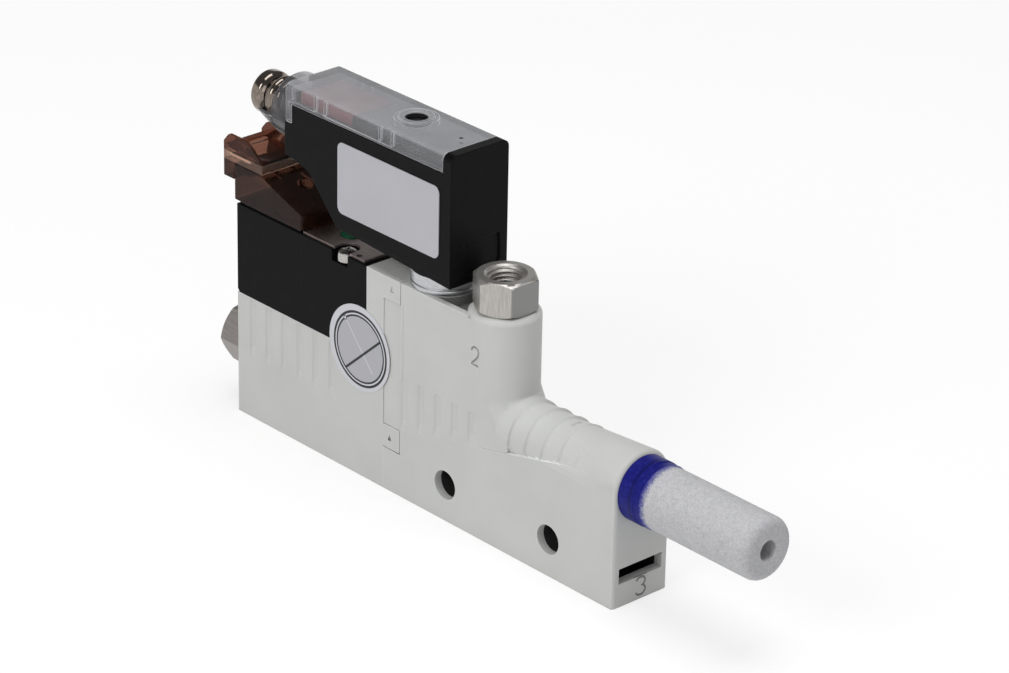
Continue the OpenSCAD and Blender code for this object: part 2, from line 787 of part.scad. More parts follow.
module plug_screw() {
    color("silver") at(plug_screw_x) difference() {
        union() {
            translate([0, 0, top_h - bite]) cylinder(r = 0.75, h = bite + 3.8);
            translate([0, 0, top_h + 3.6]) cylinder(r = 1.2, h = 1.1);
        }
        translate([-0.9, -0.15, top_h + 4.3]) cube([1.8, 0.3, over]);
    }
}

module plug_head() {
    color("saddlebrown") difference() {
        union() {
            // Flange and the skirt behind the base
            block(ear_x, flange_low, flange_back + flange_l, body_w, flange_t);
            block(ear_x, flange_low - skirt_h, flange_back - plug_back, body_w, skirt_h + flange_t);
            // Thin ears beside the latch channel
            for (y = [ear_t / 2 - half_w, far_ear_y + ear_t / 2])
                side_slab([[ear_x, flange_top - over], [ear_x, flange_top + 1.5],
                    [ear_x + 1.2, flange_top + ear_h - 0.3], [ear_x + 1.8, flange_top + ear_h],
                    [ear_slope_x, flange_top + ear_h], [flange_l, flange_top], [flange_l, flange_top - over]],
                    ear_t, y);
            // Floor of the channel, with its two latch steps
            side_slab([[ear_x, flange_top - over], [ear_x, flange_top + 0.9], [ear_x + 1, flange_top + 0.9],
                [ear_x + 1, flange_top + 0.3], [ear_x + 3.2, flange_top + 0.3], [ear_x + 3.2, flange_top + 0.9],
                [ear_x + 3.9, flange_top + 0.9], [flange_l, flange_top], [flange_l, flange_top - over]],
                half_w + far_ear_y - ear_t / 2, (far_ear_y - half_w + ear_t / 2) / 2);
        }
        socket_mouth();
    }
}

module plug_contacts() {
    color("gold") both_sides() {
        at(contact_start, pin_y - pin_w / 2, contact_z - pin_w / 2) cube([contact_x - contact_start + pin_w, pin_w, pin_w]);
        at(contact_x, pin_y - pin_w / 2, top_h - bite) cube([pin_w, pin_w, contact_z - top_h + bite]);
    }
}

// ---- Vacuum switch

// Section of the switch across its width, with rounded top edges
module switch_section(grow, low, high) {
    w = half_sw - grow;
    r = max(top_round - grow, 0.3);
    translate([-w, low]) square([2 * w, high - grow - r - low]);
    translate([-w + r, low]) square([2 * (w - r), high - grow - low]);
    for (s = [-1, 1]) translate([s * (w - r), high - grow - r]) circle(r = r);
}

module section_run(u, l) at(u) rotate([90, 0, 90]) linear_extrude(l) children();

module lid_legs(grow) {
    both_sides() at(switch_x - grow, -half_sw - grow, lid_z - leg_h - grow)
        cube([leg_l + 2 * grow, 0.8 + 2 * grow, leg_h + 2 * grow + 0.2]);
}

module switch_housing() {
    color("black") difference() {
        union() {
            // Block with a bevelled rear underside
            side_slab([[switch_x, lid_z], [switch_x, housing_z + bevel_h],
                [switch_x + 0.28 * bevel_l, housing_z + 0.94 * bevel_h],
                [switch_x + 0.48 * bevel_l, housing_z + 0.86 * bevel_h],
                [switch_x + 0.67 * bevel_l, housing_z + 0.59 * bevel_h],
                [switch_x + 0.83 * bevel_l, housing_z + 0.37 * bevel_h],
                [switch_x + bevel_l, housing_z + lip_h + 0.3], [switch_front, housing_z + lip_h],
                [switch_front, lid_z]], switch_w);
            // Base lip, set in and falling to the front
            side_slab([[switch_x + bevel_l, housing_z + lip_h + 0.4], [switch_x + bevel_l, housing_z + lip_h + 0.2],
                [switch_front - 0.2, housing_z], [switch_front - 0.2, housing_z + lip_h + 0.4]], switch_w - 0.4);
            // Front wall, as high as the lid
            section_run(lid_front, front_wall) switch_section(0, lid_z - 2, switch_top);
        }
        // Room for the circuit board
        block(switch_x + 1.8, cavity_floor, lid_front - switch_x - 3, switch_w - 2 * cavity_wall - 1, housing_h);
        block(switch_x + 1.8, board_z, lid_front - switch_x - 2.4, switch_w - 2 * cavity_wall, housing_h);
        lid_legs(0.02);
        rod_x(switch_x - over, m8_z, m8_tail_r + slip, 2 + over);
        // Seat of the base ring and the sensor over it
        at(ring_u, 0, housing_z - over) cylinder(r = hub_r + slip, h = over + hub_h);
        at(ring_u, 0, housing_z) cylinder(r = sensor_r + 0.1, h = cavity_floor + 4 - housing_z);
        // Latch window in the front face
        at(switch_front - 0.3, -3.2, housing_z + lip_h + 0.6) cube([over, 7.8, 5.8]);
    }
}

module switch_lid() {
    inner_l = lid_front - switch_x - 2 * lid_wall;
    color("lightgray", 0.5) difference() {
        union() {
            section_run(switch_x, lid_front - switch_x) switch_section(0, lid_z, switch_top);
            lid_legs(0);
            // Raised ring round the teach hole
            at(teach_u, teach_y, switch_top - 0.2) cylinder(r = teach_hole_r + 1.2, h = 0.45);
        }
        difference() {
            section_run(switch_x + lid_wall, inner_l) switch_section(lid_wall, lid_z - over, switch_top);
            // Inner ribs of the side walls
            for (u = [6.8, 9.4, 23.6, 26.8]) both_sides()
                block(switch_x + u, lid_z, 0.6, 0.5, lid_h, -half_sw + lid_wall + 0.2);
            at(teach_u, teach_y, lid_z + 1.1) cylinder(r = teach_hole_r + 0.6, h = lid_h);
        }
        at(teach_u, teach_y, lid_z) cylinder(r = teach_hole_r, h = lid_h + over);
    }
}

module switch_ring() {
    color("silver") at(ring_u, 0, top_h) difference() {
        union() {
            translate([0, 0, -stem_l]) cylinder(r = stem_r, h = stem_l + 1);
            rotate_extrude() difference() {
                square([ring_r, switch_gap]);
                translate([ring_r - 0.25, 0.9]) square([over, 0.25]);
            }
            translate([0, 0, switch_gap - 0.1]) cylinder(r = hub_r, h = hub_h + 0.1);
        }
        translate([0, 0, -stem_l - over]) cylinder(r = duct_r, h = stem_l + switch_gap + 4);
        translate([0, 0, -stem_l + 1.8]) rotate_extrude() translate([stem_r - 0.7, 0]) square([over, 1]);
    }
}

module switch_seal() {
    color("black") at(ring_u, 0, top_h - stem_l + 1.8) rotate_extrude() translate([stem_r - 0.68, 0.05]) square([0.66, 0.9]);
}

module pressure_sensor() {
    color("silver") at(ring_u, 0, housing_z + hub_h) {
        cylinder(r = sensor_r, h = 3);
        translate([0, 0, 2.9]) cylinder(r = 2.2, h = 1.6);
    }
}

module circuit_board() {
    color("darkgreen")
        block(switch_x + board_inset, board_z, lid_front - switch_x - board_inset - 0.8,
            switch_w - 2 * cavity_wall - 0.3, board_t);
}

module display_window() {
    color("indianred", 0.7)
        block(switch_x + board_inset + 0.3, board_z + board_t, window_l, switch_w - 2 * cavity_wall - 1, window_h);
}

module teach_switch() {
    // Small square switch on the board, with the bore of its plunger
    color("black") difference() {
        at(teach_u - 1.8, teach_y - 1.8, board_z + board_t) cube([3.6, 3.6, teach_switch_h]);
        at(teach_u, teach_y, board_z) cylinder(r = teach_stem_r + slip, h = board_t + teach_switch_h + over);
    }
}

module teach_button() {
    top = board_z + board_t + teach_switch_h;
    color("black") at(teach_u, teach_y, 0) {
        translate([0, 0, top - teach_travel]) cylinder(r = teach_stem_r, h = 2 * teach_travel + 0.1);
        translate([0, 0, top + teach_travel + 0.05]) cylinder(r = teach_hole_r - slip, h = 1.2);
    }
}

module status_light() {
    color("lime", 0.8) block(switch_front - 6.2, board_z + board_t, 1.6, 1.2, 1.0, 0.4);
}

// ---- Round connector

module m8_shell() {
    // Coupling with three broad ridges and a groove behind its end ring
    color("silver") lathe_x(switch_x - m8_l, m8_z) polygon([
        [m8_bore_r, 0], [m8_r - 0.35, 0], [m8_r, 0.35], [m8_r, 2.2], [m8_root_r, 2.5], [m8_root_r, 3.6],
        [m8_r, 4.0], [m8_r, 4.9], [m8_root_r, 5.3], [m8_root_r, 6.0], [m8_r, 6.4], [m8_r, m8_step],
        [m8_root_r, m8_step], [m8_root_r, m8_l - 1], [m8_tail_r, m8_l - 1], [m8_tail_r, m8_l + 1.8],
        [1.2, m8_l + 1.8], [1.2, m8_l - 4], [m8_bore_r, m8_l - 4]
    ]);
}

module m8_insert() {
    color("black") difference() {
        rod_x(switch_x - m8_l + 5, m8_z, m8_bore_r - slip, m8_l - 4 - 5);
        m8_pin_places() rod_x(switch_x - m8_l + 4, m8_z, m8_pin_r + slip, m8_l - 4 - m8_seat);
        // Keyway
        block(switch_x - m8_l + 4, m8_z + m8_bore_r - 0.7, m8_l, 0.9, 1.5);
    }
}

module m8_pin_places() for (a = [45 : 90 : 315]) translate([0, 1.35 * cos(a), 1.35 * sin(a)]) children();

module m8_pins() color("gold") m8_pin_places() rod_x(switch_x - m8_l + 1.2, m8_z, m8_pin_r, m8_l - m8_seat - 1.2);

module connector_collar() {
    color("gray") difference() {
        union() {
            lathe_x(switch_x - neck_l, m8_z)
                polygon([[0, 0], [neck_r - 0.6, 0], [neck_r - 0.1, 0.8], [neck_r, neck_l], [0, neck_l]]);
            // Cradle under the ridges
            intersection() {
                lathe_x(switch_x - neck_l - cradle_l, m8_z) polygon([
                    [0, 0], [m8_r + 0.35, 0], [neck_r - 0.2, cradle_l + 0.1], [0, cradle_l + 0.1]
                ]);
                block(0, m8_z - neck_r - 1, switch_x, body_w, neck_r - 0.6);
            }
        }
        rod_x(switch_x - m8_l, m8_z, m8_r + slip, m8_step);
        rod_x(switch_x - neck_l - over, m8_z, m8_root_r + slip, neck_l + over - 1);
        rod_x(switch_x - neck_l - over, m8_z, m8_tail_r + slip, neck_l + 2 * over);
    }
}

// ---- Labels

module round_corner_plate(l, h, r, t) {
    linear_extrude(t) {
        translate([r, 0]) square([l - 2 * r, h]);
        translate([0, r]) square([l, h - 2 * r]);
        for (x = [r, l - r], y = [r, h - r]) translate([x, y]) circle(r = r);
    }
}

module switch_label()
    color("lavender") at(label_x, -half_sw, label_z) rotate([90, 0, 0]) round_corner_plate(label_l, label_h, 1.3, label_t);

module round_sticker()
    color("lavender") at(sticker_x, -half_w, sticker_z) rotate([90, 0, 0]) cylinder(r = sticker_r, h = label_t);

valve_base();
ejector_body();
vacuum_port_fitting();
supply_port_fitting();
vacuum_port_seal();
supply_port_seal();
jet_nozzle();
receiver_nozzle();
nozzle_seals();
silencer_collar();
silencer_sleeve();
valve_body();
coil_housing();
coil_bobbin();
coil_winding();
fixed_core();
plunger();
valve_gasket();
valve_plate();
valve_screws();
override_button();
plug_gasket();
plug_base();
plug_screw();
plug_head();
plug_contacts();
switch_housing();
switch_lid();
switch_ring();
switch_seal();
pressure_sensor();
circuit_board();
display_window();
teach_switch();
teach_button();
status_light();
m8_shell();
m8_insert();
m8_pins();
connector_collar();
switch_label();
round_sticker();
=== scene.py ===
import math

import bmesh
import bpy
from mathutils import Matrix, Vector


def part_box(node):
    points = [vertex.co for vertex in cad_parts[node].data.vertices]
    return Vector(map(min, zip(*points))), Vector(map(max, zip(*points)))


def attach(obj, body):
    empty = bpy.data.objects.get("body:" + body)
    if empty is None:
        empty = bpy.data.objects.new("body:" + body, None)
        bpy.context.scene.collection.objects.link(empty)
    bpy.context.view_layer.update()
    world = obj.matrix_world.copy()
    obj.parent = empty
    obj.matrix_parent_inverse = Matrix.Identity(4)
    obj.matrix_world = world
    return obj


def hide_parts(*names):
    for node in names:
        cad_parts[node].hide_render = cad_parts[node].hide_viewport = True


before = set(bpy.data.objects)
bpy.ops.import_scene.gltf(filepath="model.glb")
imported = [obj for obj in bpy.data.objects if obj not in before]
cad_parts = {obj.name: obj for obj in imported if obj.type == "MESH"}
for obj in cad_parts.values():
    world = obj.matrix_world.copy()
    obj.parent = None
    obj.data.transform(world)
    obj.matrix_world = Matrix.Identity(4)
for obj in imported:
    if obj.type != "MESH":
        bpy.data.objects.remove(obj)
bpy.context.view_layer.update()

scene = bpy.context.scene
millimetre = 0.001
rearFace = round(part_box("valve_base")[0][0] / millimetre, 2)  # where the body's rear face lies along X, in mm


def spot(along, across, up):
    # along is counted from the rear face of the body, all in mm
    return Vector((along + rearFace, across, up)) * millimetre


def reachOf(nodeName):
    # the lowest and highest corner of a CAD node, counted as spot counts them
    return [[round(value / millimetre - shift, 2) for value, shift in zip(corner, (rearFace, 0, 0))]
            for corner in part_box(nodeName)]


def middleOf(nodeName):
    return [round((low + high) / 2, 3) for low, high in zip(*reachOf(nodeName))]


def toLinear(hexText):
    parts = [int(hexText[i:i + 2], 16) / 255 for i in (1, 3, 5)]
    return tuple(p / 12.92 if p <= 0.04045 else ((p + 0.055) / 1.055) ** 2.4 for p in parts) + (1.0,)


def feed(tree, node, inputs):
    # an input takes a node, a socket, a plain value or a colour as hex text
    for key, value in inputs.items():
        if isinstance(value, bpy.types.Node):
            value = next(output for output in value.outputs if output.enabled)
        if isinstance(value, bpy.types.NodeSocket):
            tree.links.new(value, node.inputs[key])
        else:
            node.inputs[key].default_value = toLinear(value) if isinstance(value, str) else value


def addNode(tree, kind, inputs=None, stops=(), **settings):
    # a kind without Node in its name is a shader node, and stops are places and colours along a colour ramp
    node = tree.nodes.new(kind if "Node" in kind else "ShaderNode" + kind)
    for key, value in settings.items():
        setattr(node, key, value)
    feed(tree, node, inputs or {})
    if stops:
        elements = node.color_ramp.elements
        while len(elements) < len(stops):
            elements.new(0.5)
        for element, (position, hexText) in zip(elements, stops):
            element.position = position
            element.color = toLinear(hexText)
    return node


def startMaterial(name, shaderSettings):
    # a Principled shader with its constants on its own sockets, and Object coordinates, in which the
    # Scale of a pattern is 1000 over the size of its grain in mm
    material = bpy.data.materials.new(name)
    material.use_nodes = True
    tree = material.node_tree
    tree.nodes.clear()
    shader = addNode(tree, "BsdfPrincipled", shaderSettings)
    addNode(tree, "OutputMaterial", {"Surface": shader})
    place = addNode(tree, "TexCoord").outputs["Object"]
    return material, tree, shader, place


def edgeMask(tree, radius):
    # 1 along the sharp edges of the mesh, 0 on its flats
    trueNormal = addNode(tree, "NewGeometry").outputs["Normal"]
    rounded = addNode(tree, "Bevel", {"Radius": radius * millimetre}, samples=4)
    lean = addNode(tree, "VectorMath", {0: rounded, 1: trueNormal}, operation="DOT_PRODUCT")
    return addNode(tree, "MapRange", {"Value": lean, "From Min": 0.995, "From Max": 0.93})


def boxMask(tree, place, lowest, highest):
    # 1 inside a box given by two corners, counted as spot counts them
    apart = addNode(tree, "SeparateXYZ", {0: place}).outputs
    low, high = spot(*lowest), spot(*highest)
    inside = None
    for axis in range(3):
        middle, half = (low[axis] + high[axis]) / 2, (high[axis] - low[axis]) / 2
        within = addNode(tree, "Math", {0: apart[axis], 1: middle, 2: half}, operation="COMPARE")
        if inside is not None:
            within = addNode(tree, "Math", {0: inside, 1: within}, operation="MULTIPLY")
        inside = within
    return inside


def newObject(name, data):
    obj = bpy.data.objects.new(name, data)
    scene.collection.objects.link(obj)
    return obj


def bakeModifiers(obj):
    # the modifiers' result becomes the mesh
    bpy.context.view_layer.update()
    result = bpy.data.meshes.new_from_object(obj.evaluated_get(bpy.context.evaluated_depsgraph_get()))
    obj.modifiers.clear()
    obj.data = result
    return obj


def smoothShade(obj, angle=32):
    mesh = obj.data
    mesh.polygons.foreach_set("use_smooth", [True] * len(mesh.polygons))
    mesh.set_sharp_from_angle(angle=math.radians(angle))
    weighted = obj.modifiers.new("normals", "WEIGHTED_NORMAL")
    weighted.weight = 50
    weighted.keep_sharp = True
    return bakeModifiers(obj)


def dress(obj, body, material, replaced=(), shadeAngle=32):
    obj.data.materials.clear()
    obj.data.materials.append(material)
    smoothShade(obj, shadeAngle)
    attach(obj, body)
    if replaced:
        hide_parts(*replaced)
    return obj


def nodeCopy(nodeName, pieceName):
    # a welded copy of a CAD node, with its flat faces joined up
    obj = newObject(pieceName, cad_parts[nodeName].data.copy())
    work = bmesh.new()
    work.from_mesh(obj.data)
    bmesh.ops.remove_doubles(work, verts=work.verts, dist=2e-6)
    bmesh.ops.dissolve_limit(work, angle_limit=math.radians(0.6), verts=work.verts, edges=work.edges)
    work.to_mesh(obj.data)
    work.free()
    return obj


def roundEdges(obj, width, segments=2, fromAngle=38):
    # rounds the sharp outer edges that have room for it
    work = bmesh.new()
    work.from_mesh(obj.data)
    offset = width * millimetre
    chosen = []
    for edge in work.edges:
        if len(edge.link_faces) != 2 or not edge.is_convex:
            continue
        if edge.calc_face_angle(0) < math.radians(fromAngle):
            continue
        length = edge.calc_length()
        if length < 1e-6 or min(face.calc_area() / length for face in edge.link_faces) < 2.4 * offset:
            continue
        chosen.append(edge)
    bmesh.ops.bevel(work, geom=chosen, offset=offset, segments=segments, profile=0.5, affect="EDGES",
                    clamp_overlap=False, loop_slide=True)
    bmesh.ops.remove_doubles(work, verts=work.verts, dist=1e-6)
    work.to_mesh(obj.data)
    work.free()
    return obj


def turnedTo(axis, centre):
    # moves what stands on Z so that it stands on axis at centre
    turn = Vector((0, 0, 1)).rotation_difference(Vector(axis)).to_matrix().to_4x4()
    return Matrix.Translation(centre) @ turn


def lathe(name, profile, centre, axis, steps=72, closed=True):
    # profile is (radius, distance along the axis) in mm, counted from centre
    work = bmesh.new()
    rings = []
    for radius, reach in profile:
        ring = []
        for i in range(steps):
            turn = 2 * math.pi * i / steps
            ring.append(work.verts.new((radius * math.cos(turn), radius * math.sin(turn), reach)))
        rings.append(ring)
    pairs = list(zip(rings, rings[1:])) + ([(rings[-1], rings[0])] if closed else [])
    for low, high in pairs:
        for i in range(steps):
            j = (i + 1) % steps
            work.faces.new((low[i], low[j], high[j], high[i]))
    bmesh.ops.remove_doubles(work, verts=work.verts, dist=1e-5)
    bmesh.ops.recalc_face_normals(work, faces=work.faces)
    work.transform(turnedTo(axis, centre) @ Matrix.Scale(millimetre, 4))
    mesh = bpy.data.meshes.new(name)
    work.to_mesh(mesh)
    work.free()
    return newObject(name, mesh)


def tubeAlong(name, strokes, radius):
    # round strokes through lists of points, as one mesh
    curve = bpy.data.curves.new(name, "CURVE")
    curve.dimensions = "3D"
    curve.bevel_depth = radius * millimetre
    curve.bevel_resolution = 2
    curve.use_fill_caps = True
    for points in strokes:
        line = curve.splines.new("POLY")
        line.points.add(len(points) - 1)
        for point, place in zip(line.points, points):
            point.co = (*place, 1)
    holder = newObject(name, curve)
    bpy.context.view_layer.update()
    mesh = bpy.data.meshes.new_from_object(holder.evaluated_get(bpy.context.evaluated_depsgraph_get()))
    bpy.data.objects.remove(holder)
    return newObject(name, mesh)


def carve(obj, cutter):
    cut = obj.modifiers.new("cut", "BOOLEAN")
    cut.operation = "DIFFERENCE"
    cut.solver = "EXACT"
    cut.use_self = True
    cut.object = cutter
    bakeModifiers(obj)
    bpy.data.objects.remove(cutter)
    return obj


def boxMesh(name, corner, size):
    # a block from its lowest corner, in mm
    work = bmesh.new()
    bmesh.ops.create_cube(work, size=1)
    for vert in work.verts:
        vert.co = [corner[i] + (vert.co[i] + 0.5) * size[i] for i in range(3)]
    for vert in work.verts:
        vert.co = spot(*vert.co)
    mesh = bpy.data.meshes.new(name)
    work.to_mesh(mesh)
    work.free()
    return newObject(name, mesh)


def runTree(obj, tree, values):
    # a Geometry Nodes tree on obj: its inputs are set by identifier, and the result is kept
    modifier = obj.modifiers.new("nodes", "NODES")
    modifier.node_group = tree
    for item in tree.interface.items_tree:
        if item.in_out == "INPUT" and item.name in values:
            modifier[item.identifier] = values[item.name]
    return bakeModifiers(obj)


def startTree(name, sockets):
    tree = bpy.data.node_groups.new(name, "GeometryNodeTree")
    for label, kind in sockets:
        tree.interface.new_socket(label, in_out="INPUT", socket_type=kind)
    tree.interface.new_socket("Geometry", in_out="OUTPUT", socket_type="NodeSocketGeometry")
    return tree, addNode(tree, "NodeGroupInput").outputs


def endTree(tree, geometry, material):
    real = addNode(tree, "GeometryNodeRealizeInstances", {0: geometry})
    painted = addNode(tree, "GeometryNodeSetMaterial", {"Geometry": real, "Material": material})
    addNode(tree, "NodeGroupOutput", {0: painted})
    return tree


def threadTree():
    # a thread: a kite-shaped bead wound as a helix
    tree, given = startTree("ThreadHelix", [
        ("Geometry", "NodeSocketGeometry"), ("Radius", "NodeSocketFloat"), ("Pitch", "NodeSocketFloat"),
        ("Turns", "NodeSocketFloat"), ("Depth", "NodeSocketFloat"), ("Material", "NodeSocketMaterial")])
    height = addNode(tree, "Math", {0: given["Pitch"], 1: given["Turns"]}, operation="MULTIPLY")
    helix = addNode(tree, "GeometryNodeCurveSpiral", {
        "Resolution": 48, "Rotations": given["Turns"], "Start Radius": given["Radius"],
        "End Radius": given["Radius"], "Height": height})
    upright = addNode(tree, "GeometryNodeSetCurveNormal", {0: helix}, mode="Z_UP")
    half = addNode(tree, "Math", {0: given["Pitch"], 1: 0.43}, operation="MULTIPLY")
    deep = addNode(tree, "Math", {0: given["Depth"], 1: 2.0}, operation="MULTIPLY")
    corners = {"Width": deep, "Bottom Height": half, "Top Height": half}
    kite = addNode(tree, "GeometryNodeCurvePrimitiveQuadrilateral", corners, mode="KITE")
    bead = addNode(tree, "GeometryNodeCurveToMesh", {0: upright, 1: kite, "Fill Caps": True})
    return endTree(tree, bead, given["Material"])


def porousTree():
    # grains of a sintered body: a fine mesh pushed in and out along its normals
    tree, given = startTree("SinteredGrain", [
        ("Geometry", "NodeSocketGeometry"), ("Grain", "NodeSocketFloat"), ("Relief", "NodeSocketFloat"),
        ("Seed", "NodeSocketFloat"), ("Material", "NodeSocketMaterial")])
    scale = addNode(tree, "Math", {0: 1.0, 1: given["Grain"]}, operation="DIVIDE")
    cells = {"W": given["Seed"], "Scale": scale, "Smoothness": 0.35}
    grains = addNode(tree, "TexVoronoi", cells, voronoi_dimensions="4D", feature="SMOOTH_F1")
    lumps = addNode(tree, "TexNoise", {"W": given["Seed"], "Scale": scale}, noise_dimensions="4D")
    lower = addNode(tree, "Math", {0: lumps, 1: grains}, operation="SUBTRACT")
    push = addNode(tree, "Math", {0: lower, 1: given["Relief"]}, operation="MULTIPLY")
    normal = addNode(tree, "GeometryNodeInputNormal")
    offset = addNode(tree, "VectorMath", {0: normal, "Scale": push}, operation="SCALE")
    moved = addNode(tree, "GeometryNodeSetPosition", {"Geometry": given["Geometry"], "Offset": offset})
    return endTree(tree, moved, given["Material"])


def componentTree():
    # small parts on the circuit board, set on a loose grid
    tree, given = startTree("BoardParts", [
        ("Geometry", "NodeSocketGeometry"), ("Length", "NodeSocketFloat"), ("Width", "NodeSocketFloat"),
        ("Part", "NodeSocketFloat"), ("Seed", "NodeSocketInt"), ("Material", "NodeSocketMaterial")])
    grid = addNode(tree, "GeometryNodeMeshGrid", {
        "Vertices X": 7, "Vertices Y": 4, "Size X": given["Length"], "Size Y": given["Width"]})
    chip = addNode(tree, "GeometryNodeMeshCube", {"Size": (1.0, 0.6, 0.45)})
    sizes = {0: (0.5, 0.5, 0.6), 1: (1.5, 1.5, 1.3), "Seed": given["Seed"]}
    grow = addNode(tree, "FunctionNodeRandomValue", sizes, data_type="FLOAT_VECTOR")
    sized = addNode(tree, "VectorMath", {0: grow, "Scale": given["Part"]}, operation="SCALE")
    share = {"Probability": 0.8, "Seed": given["Seed"]}
    chosen = addNode(tree, "FunctionNodeRandomValue", share, data_type="BOOLEAN")
    placed = addNode(tree, "GeometryNodeInstanceOnPoints", {
        "Points": grid, "Instance": chip, "Scale": sized, "Selection": chosen})
    return endTree(tree, placed, given["Material"])


threads = threadTree()
grainTree = porousTree()
boardTree = componentTree()
print("trees built")


bodySkin = {
    # edge is the painted highlight on outer edges and on the ledges under the grip grooves
    "flat": ("#C5C6C3", "#CACBC8"), "edge": "#EDEEEC", "edgeRadius": 0.22, "gapReach": 0.6,
    "grain": 0.35,  # the real grain is 0.05 mm, and this one shows
    "ledges": ((0, -6.3, 11), (97, -5.85, 22)),  # box round the feet of the grip grooves, whose up-facing ledges are painted lighter as painted light
    "paintedShade": (  # two corners of a box, and the darker tone painted in it as painted shade, where little light reaches
        ((50, -4.75, 3), (85.4, 4.75, 10), "#2A2A2A"),  # deep ends of the screw holes
        ((85.5, -5.1, 1.5), (95.67, 5.1, 11.3), "#2A2A2A"),  # exhaust chamber
        ((49, -5.11, 38.55), (60, 5.11, 40.3), "#7C7C7A"),  # pocket in the top
        ((61.5, -6.2, 31.6), (63.86, -5.9, 35.7), "#9C9D9A"),  # painted shade in the strokes of the 2
        ((97.1, -1.3, 0.4), (97.37, 1.7, 4.5), "#8A8B8A"),  # and of the 3
        ((40.6, -6.22, 9.4), (41.9, -5.9, 11.0), "#2E2F2E"),  # mark on the lower tab
        ((41.0, -6.22, 37.6), (42.2, -5.9, 39.2), "#8E8F8C")),  # mark on the upper tab
}


def mouldedPolyamide():
    # glass-filled polyamide from an eroded mould: an even light grey skin with a very fine matt grain
    material, tree, shader, place = startMaterial("MouldedPolyamideGrey", {
        "IOR": 1.53, "Specular IOR Level": 0.25})
    clouds = addNode(tree, "TexNoise", {"Vector": place, "Scale": 1000 / 9.0, "Detail": 3.0})
    tone = addNode(tree, "ValToRGB", {0: clouds}, tuple(zip((0.3, 0.7), bodySkin["flat"])))
    # painted shade: narrow slits are painted dark and corners a little darker, apart from faces that look up
    # and are taken as lit from over them
    reach = bodySkin["gapReach"] * millimetre
    near = addNode(tree, "AmbientOcclusion", {"Distance": reach}, samples=6).outputs["AO"]
    paintedGapShade = addNode(tree, "ValToRGB", {0: near}, (
        (0.03, "#4A4A4A"), (0.16, "#DCDCDC"), (0.8, "#FFFFFF")))
    normal = addNode(tree, "NewGeometry").outputs["Normal"]
    upward = addNode(tree, "SeparateXYZ", {0: normal}).outputs[2]
    sideways = addNode(tree, "MapRange", {
        "Value": upward, "From Min": 0.6, "From Max": 0.85, "To Min": 1.0, "To Max": 0.0})
    shaded = {0: sideways, 6: tone, 7: paintedGapShade}
    tone = addNode(tree, "Mix", shaded, data_type="RGBA", blend_type="MULTIPLY")
    # painted highlight: outer edges are painted a little lighter than the flats, and so are the ledges under
    # the grip grooves, as painted light
    outer = addNode(tree, "MapRange", {"Value": near, "From Min": 0.8, "From Max": 0.95, "To Max": 0.55})
    edges = edgeMask(tree, bodySkin["edgeRadius"])
    paintedEdgeHighlight = addNode(tree, "Math", {0: edges, 1: outer}, operation="MULTIPLY")
    level = addNode(tree, "Math", {0: 1.0, 1: sideways}, operation="SUBTRACT")
    low = boxMask(tree, place, *bodySkin["ledges"])
    paintedLedgeLight = addNode(tree, "Math", {0: level, 1: low}, operation="MULTIPLY")
    pale = addNode(tree, "Math", {0: paintedEdgeHighlight, 1: paintedLedgeLight}, operation="MAXIMUM")
    tone = addNode(tree, "Mix", {0: pale, 6: tone, 7: bodySkin["edge"]}, data_type="RGBA")
    # painted shade: every box of the list is painted its darker tone
    for lowest, highest, shade in bodySkin["paintedShade"]:
        inside = boxMask(tree, place, lowest, highest)
        tone = addNode(tree, "Mix", {0: inside, 6: tone, 7: shade}, data_type="RGBA")
    grain = addNode(tree, "TexNoise", {"Vector": place, "Scale": 1000 / bodySkin["grain"]})
    shine = addNode(tree, "MapRange", {"Value": grain, "To Min": 0.44, "To Max": 0.58})
    relief = addNode(tree, "MapRange", {"Value": sideways, "To Min": 0.03, "To Max": 0.5})
    rounded = addNode(tree, "Bevel", {"Radius": 0.13 * millimetre}, samples=4)
    bump = addNode(tree, "Bump", {
        "Height": grain, "Strength": relief, "Distance": 0.03 * millimetre, "Normal": rounded})
    feed(tree, shader, {"Base Color": tone, "Roughness": shine, "Normal": bump})
    return material


def blackPolyester(name, grainSize, shade, dusty, level):
    # PBT moulded in a fine texture: near black, with a dull sheen and a little dust
    material, tree, shader, place = startMaterial(name, {"IOR": 1.55, "Specular IOR Level": level})
    dust = addNode(tree, "TexNoise", {
        "Vector": place, "Scale": 1000 / 3.0, "Detail": 6.0, "Roughness": 0.6})
    tone = addNode(tree, "ValToRGB", {0: dust}, ((0.35, shade), (0.8, dusty)))
    grain = addNode(tree, "TexNoise", {"Vector": place, "Scale": 1000 / grainSize})
    shine = addNode(tree, "MapRange", {"Value": grain, "To Min": 0.36, "To Max": 0.52})
    rounded = addNode(tree, "Bevel", {"Radius": 0.25 * millimetre}, samples=4)
    bump = addNode(tree, "Bump", {
        "Height": grain, "Strength": 0.5, "Distance": 0.03 * millimetre, "Normal": rounded})
    feed(tree, shader, {"Base Color": tone, "Roughness": shine, "Normal": bump})
    return material


def tintedPlastic(name, tint, clouded, settings):
    # clear plastic, faintly clouded and rippled by its mould; the tone is left for the caller to link
    material, tree, shader, place = startMaterial(name, settings)
    clouds = addNode(tree, "TexNoise", {"Vector": place, "Scale": 1000 / 6.0, "Detail": 3.0})
    tone = addNode(tree, "ValToRGB", {0: clouds}, ((0.3, tint), (0.75, clouded)))
    ripple = addNode(tree, "TexNoise", {"Vector": place, "Scale": 1000 / 1.4, "Detail": 1.0})
    bump = addNode(tree, "Bump", {"Height": ripple, "Strength": 0.15, "Distance": 0.02 * millimetre})
    feed(tree, shader, {"Normal": bump})
    return material, tree, shader, place, tone


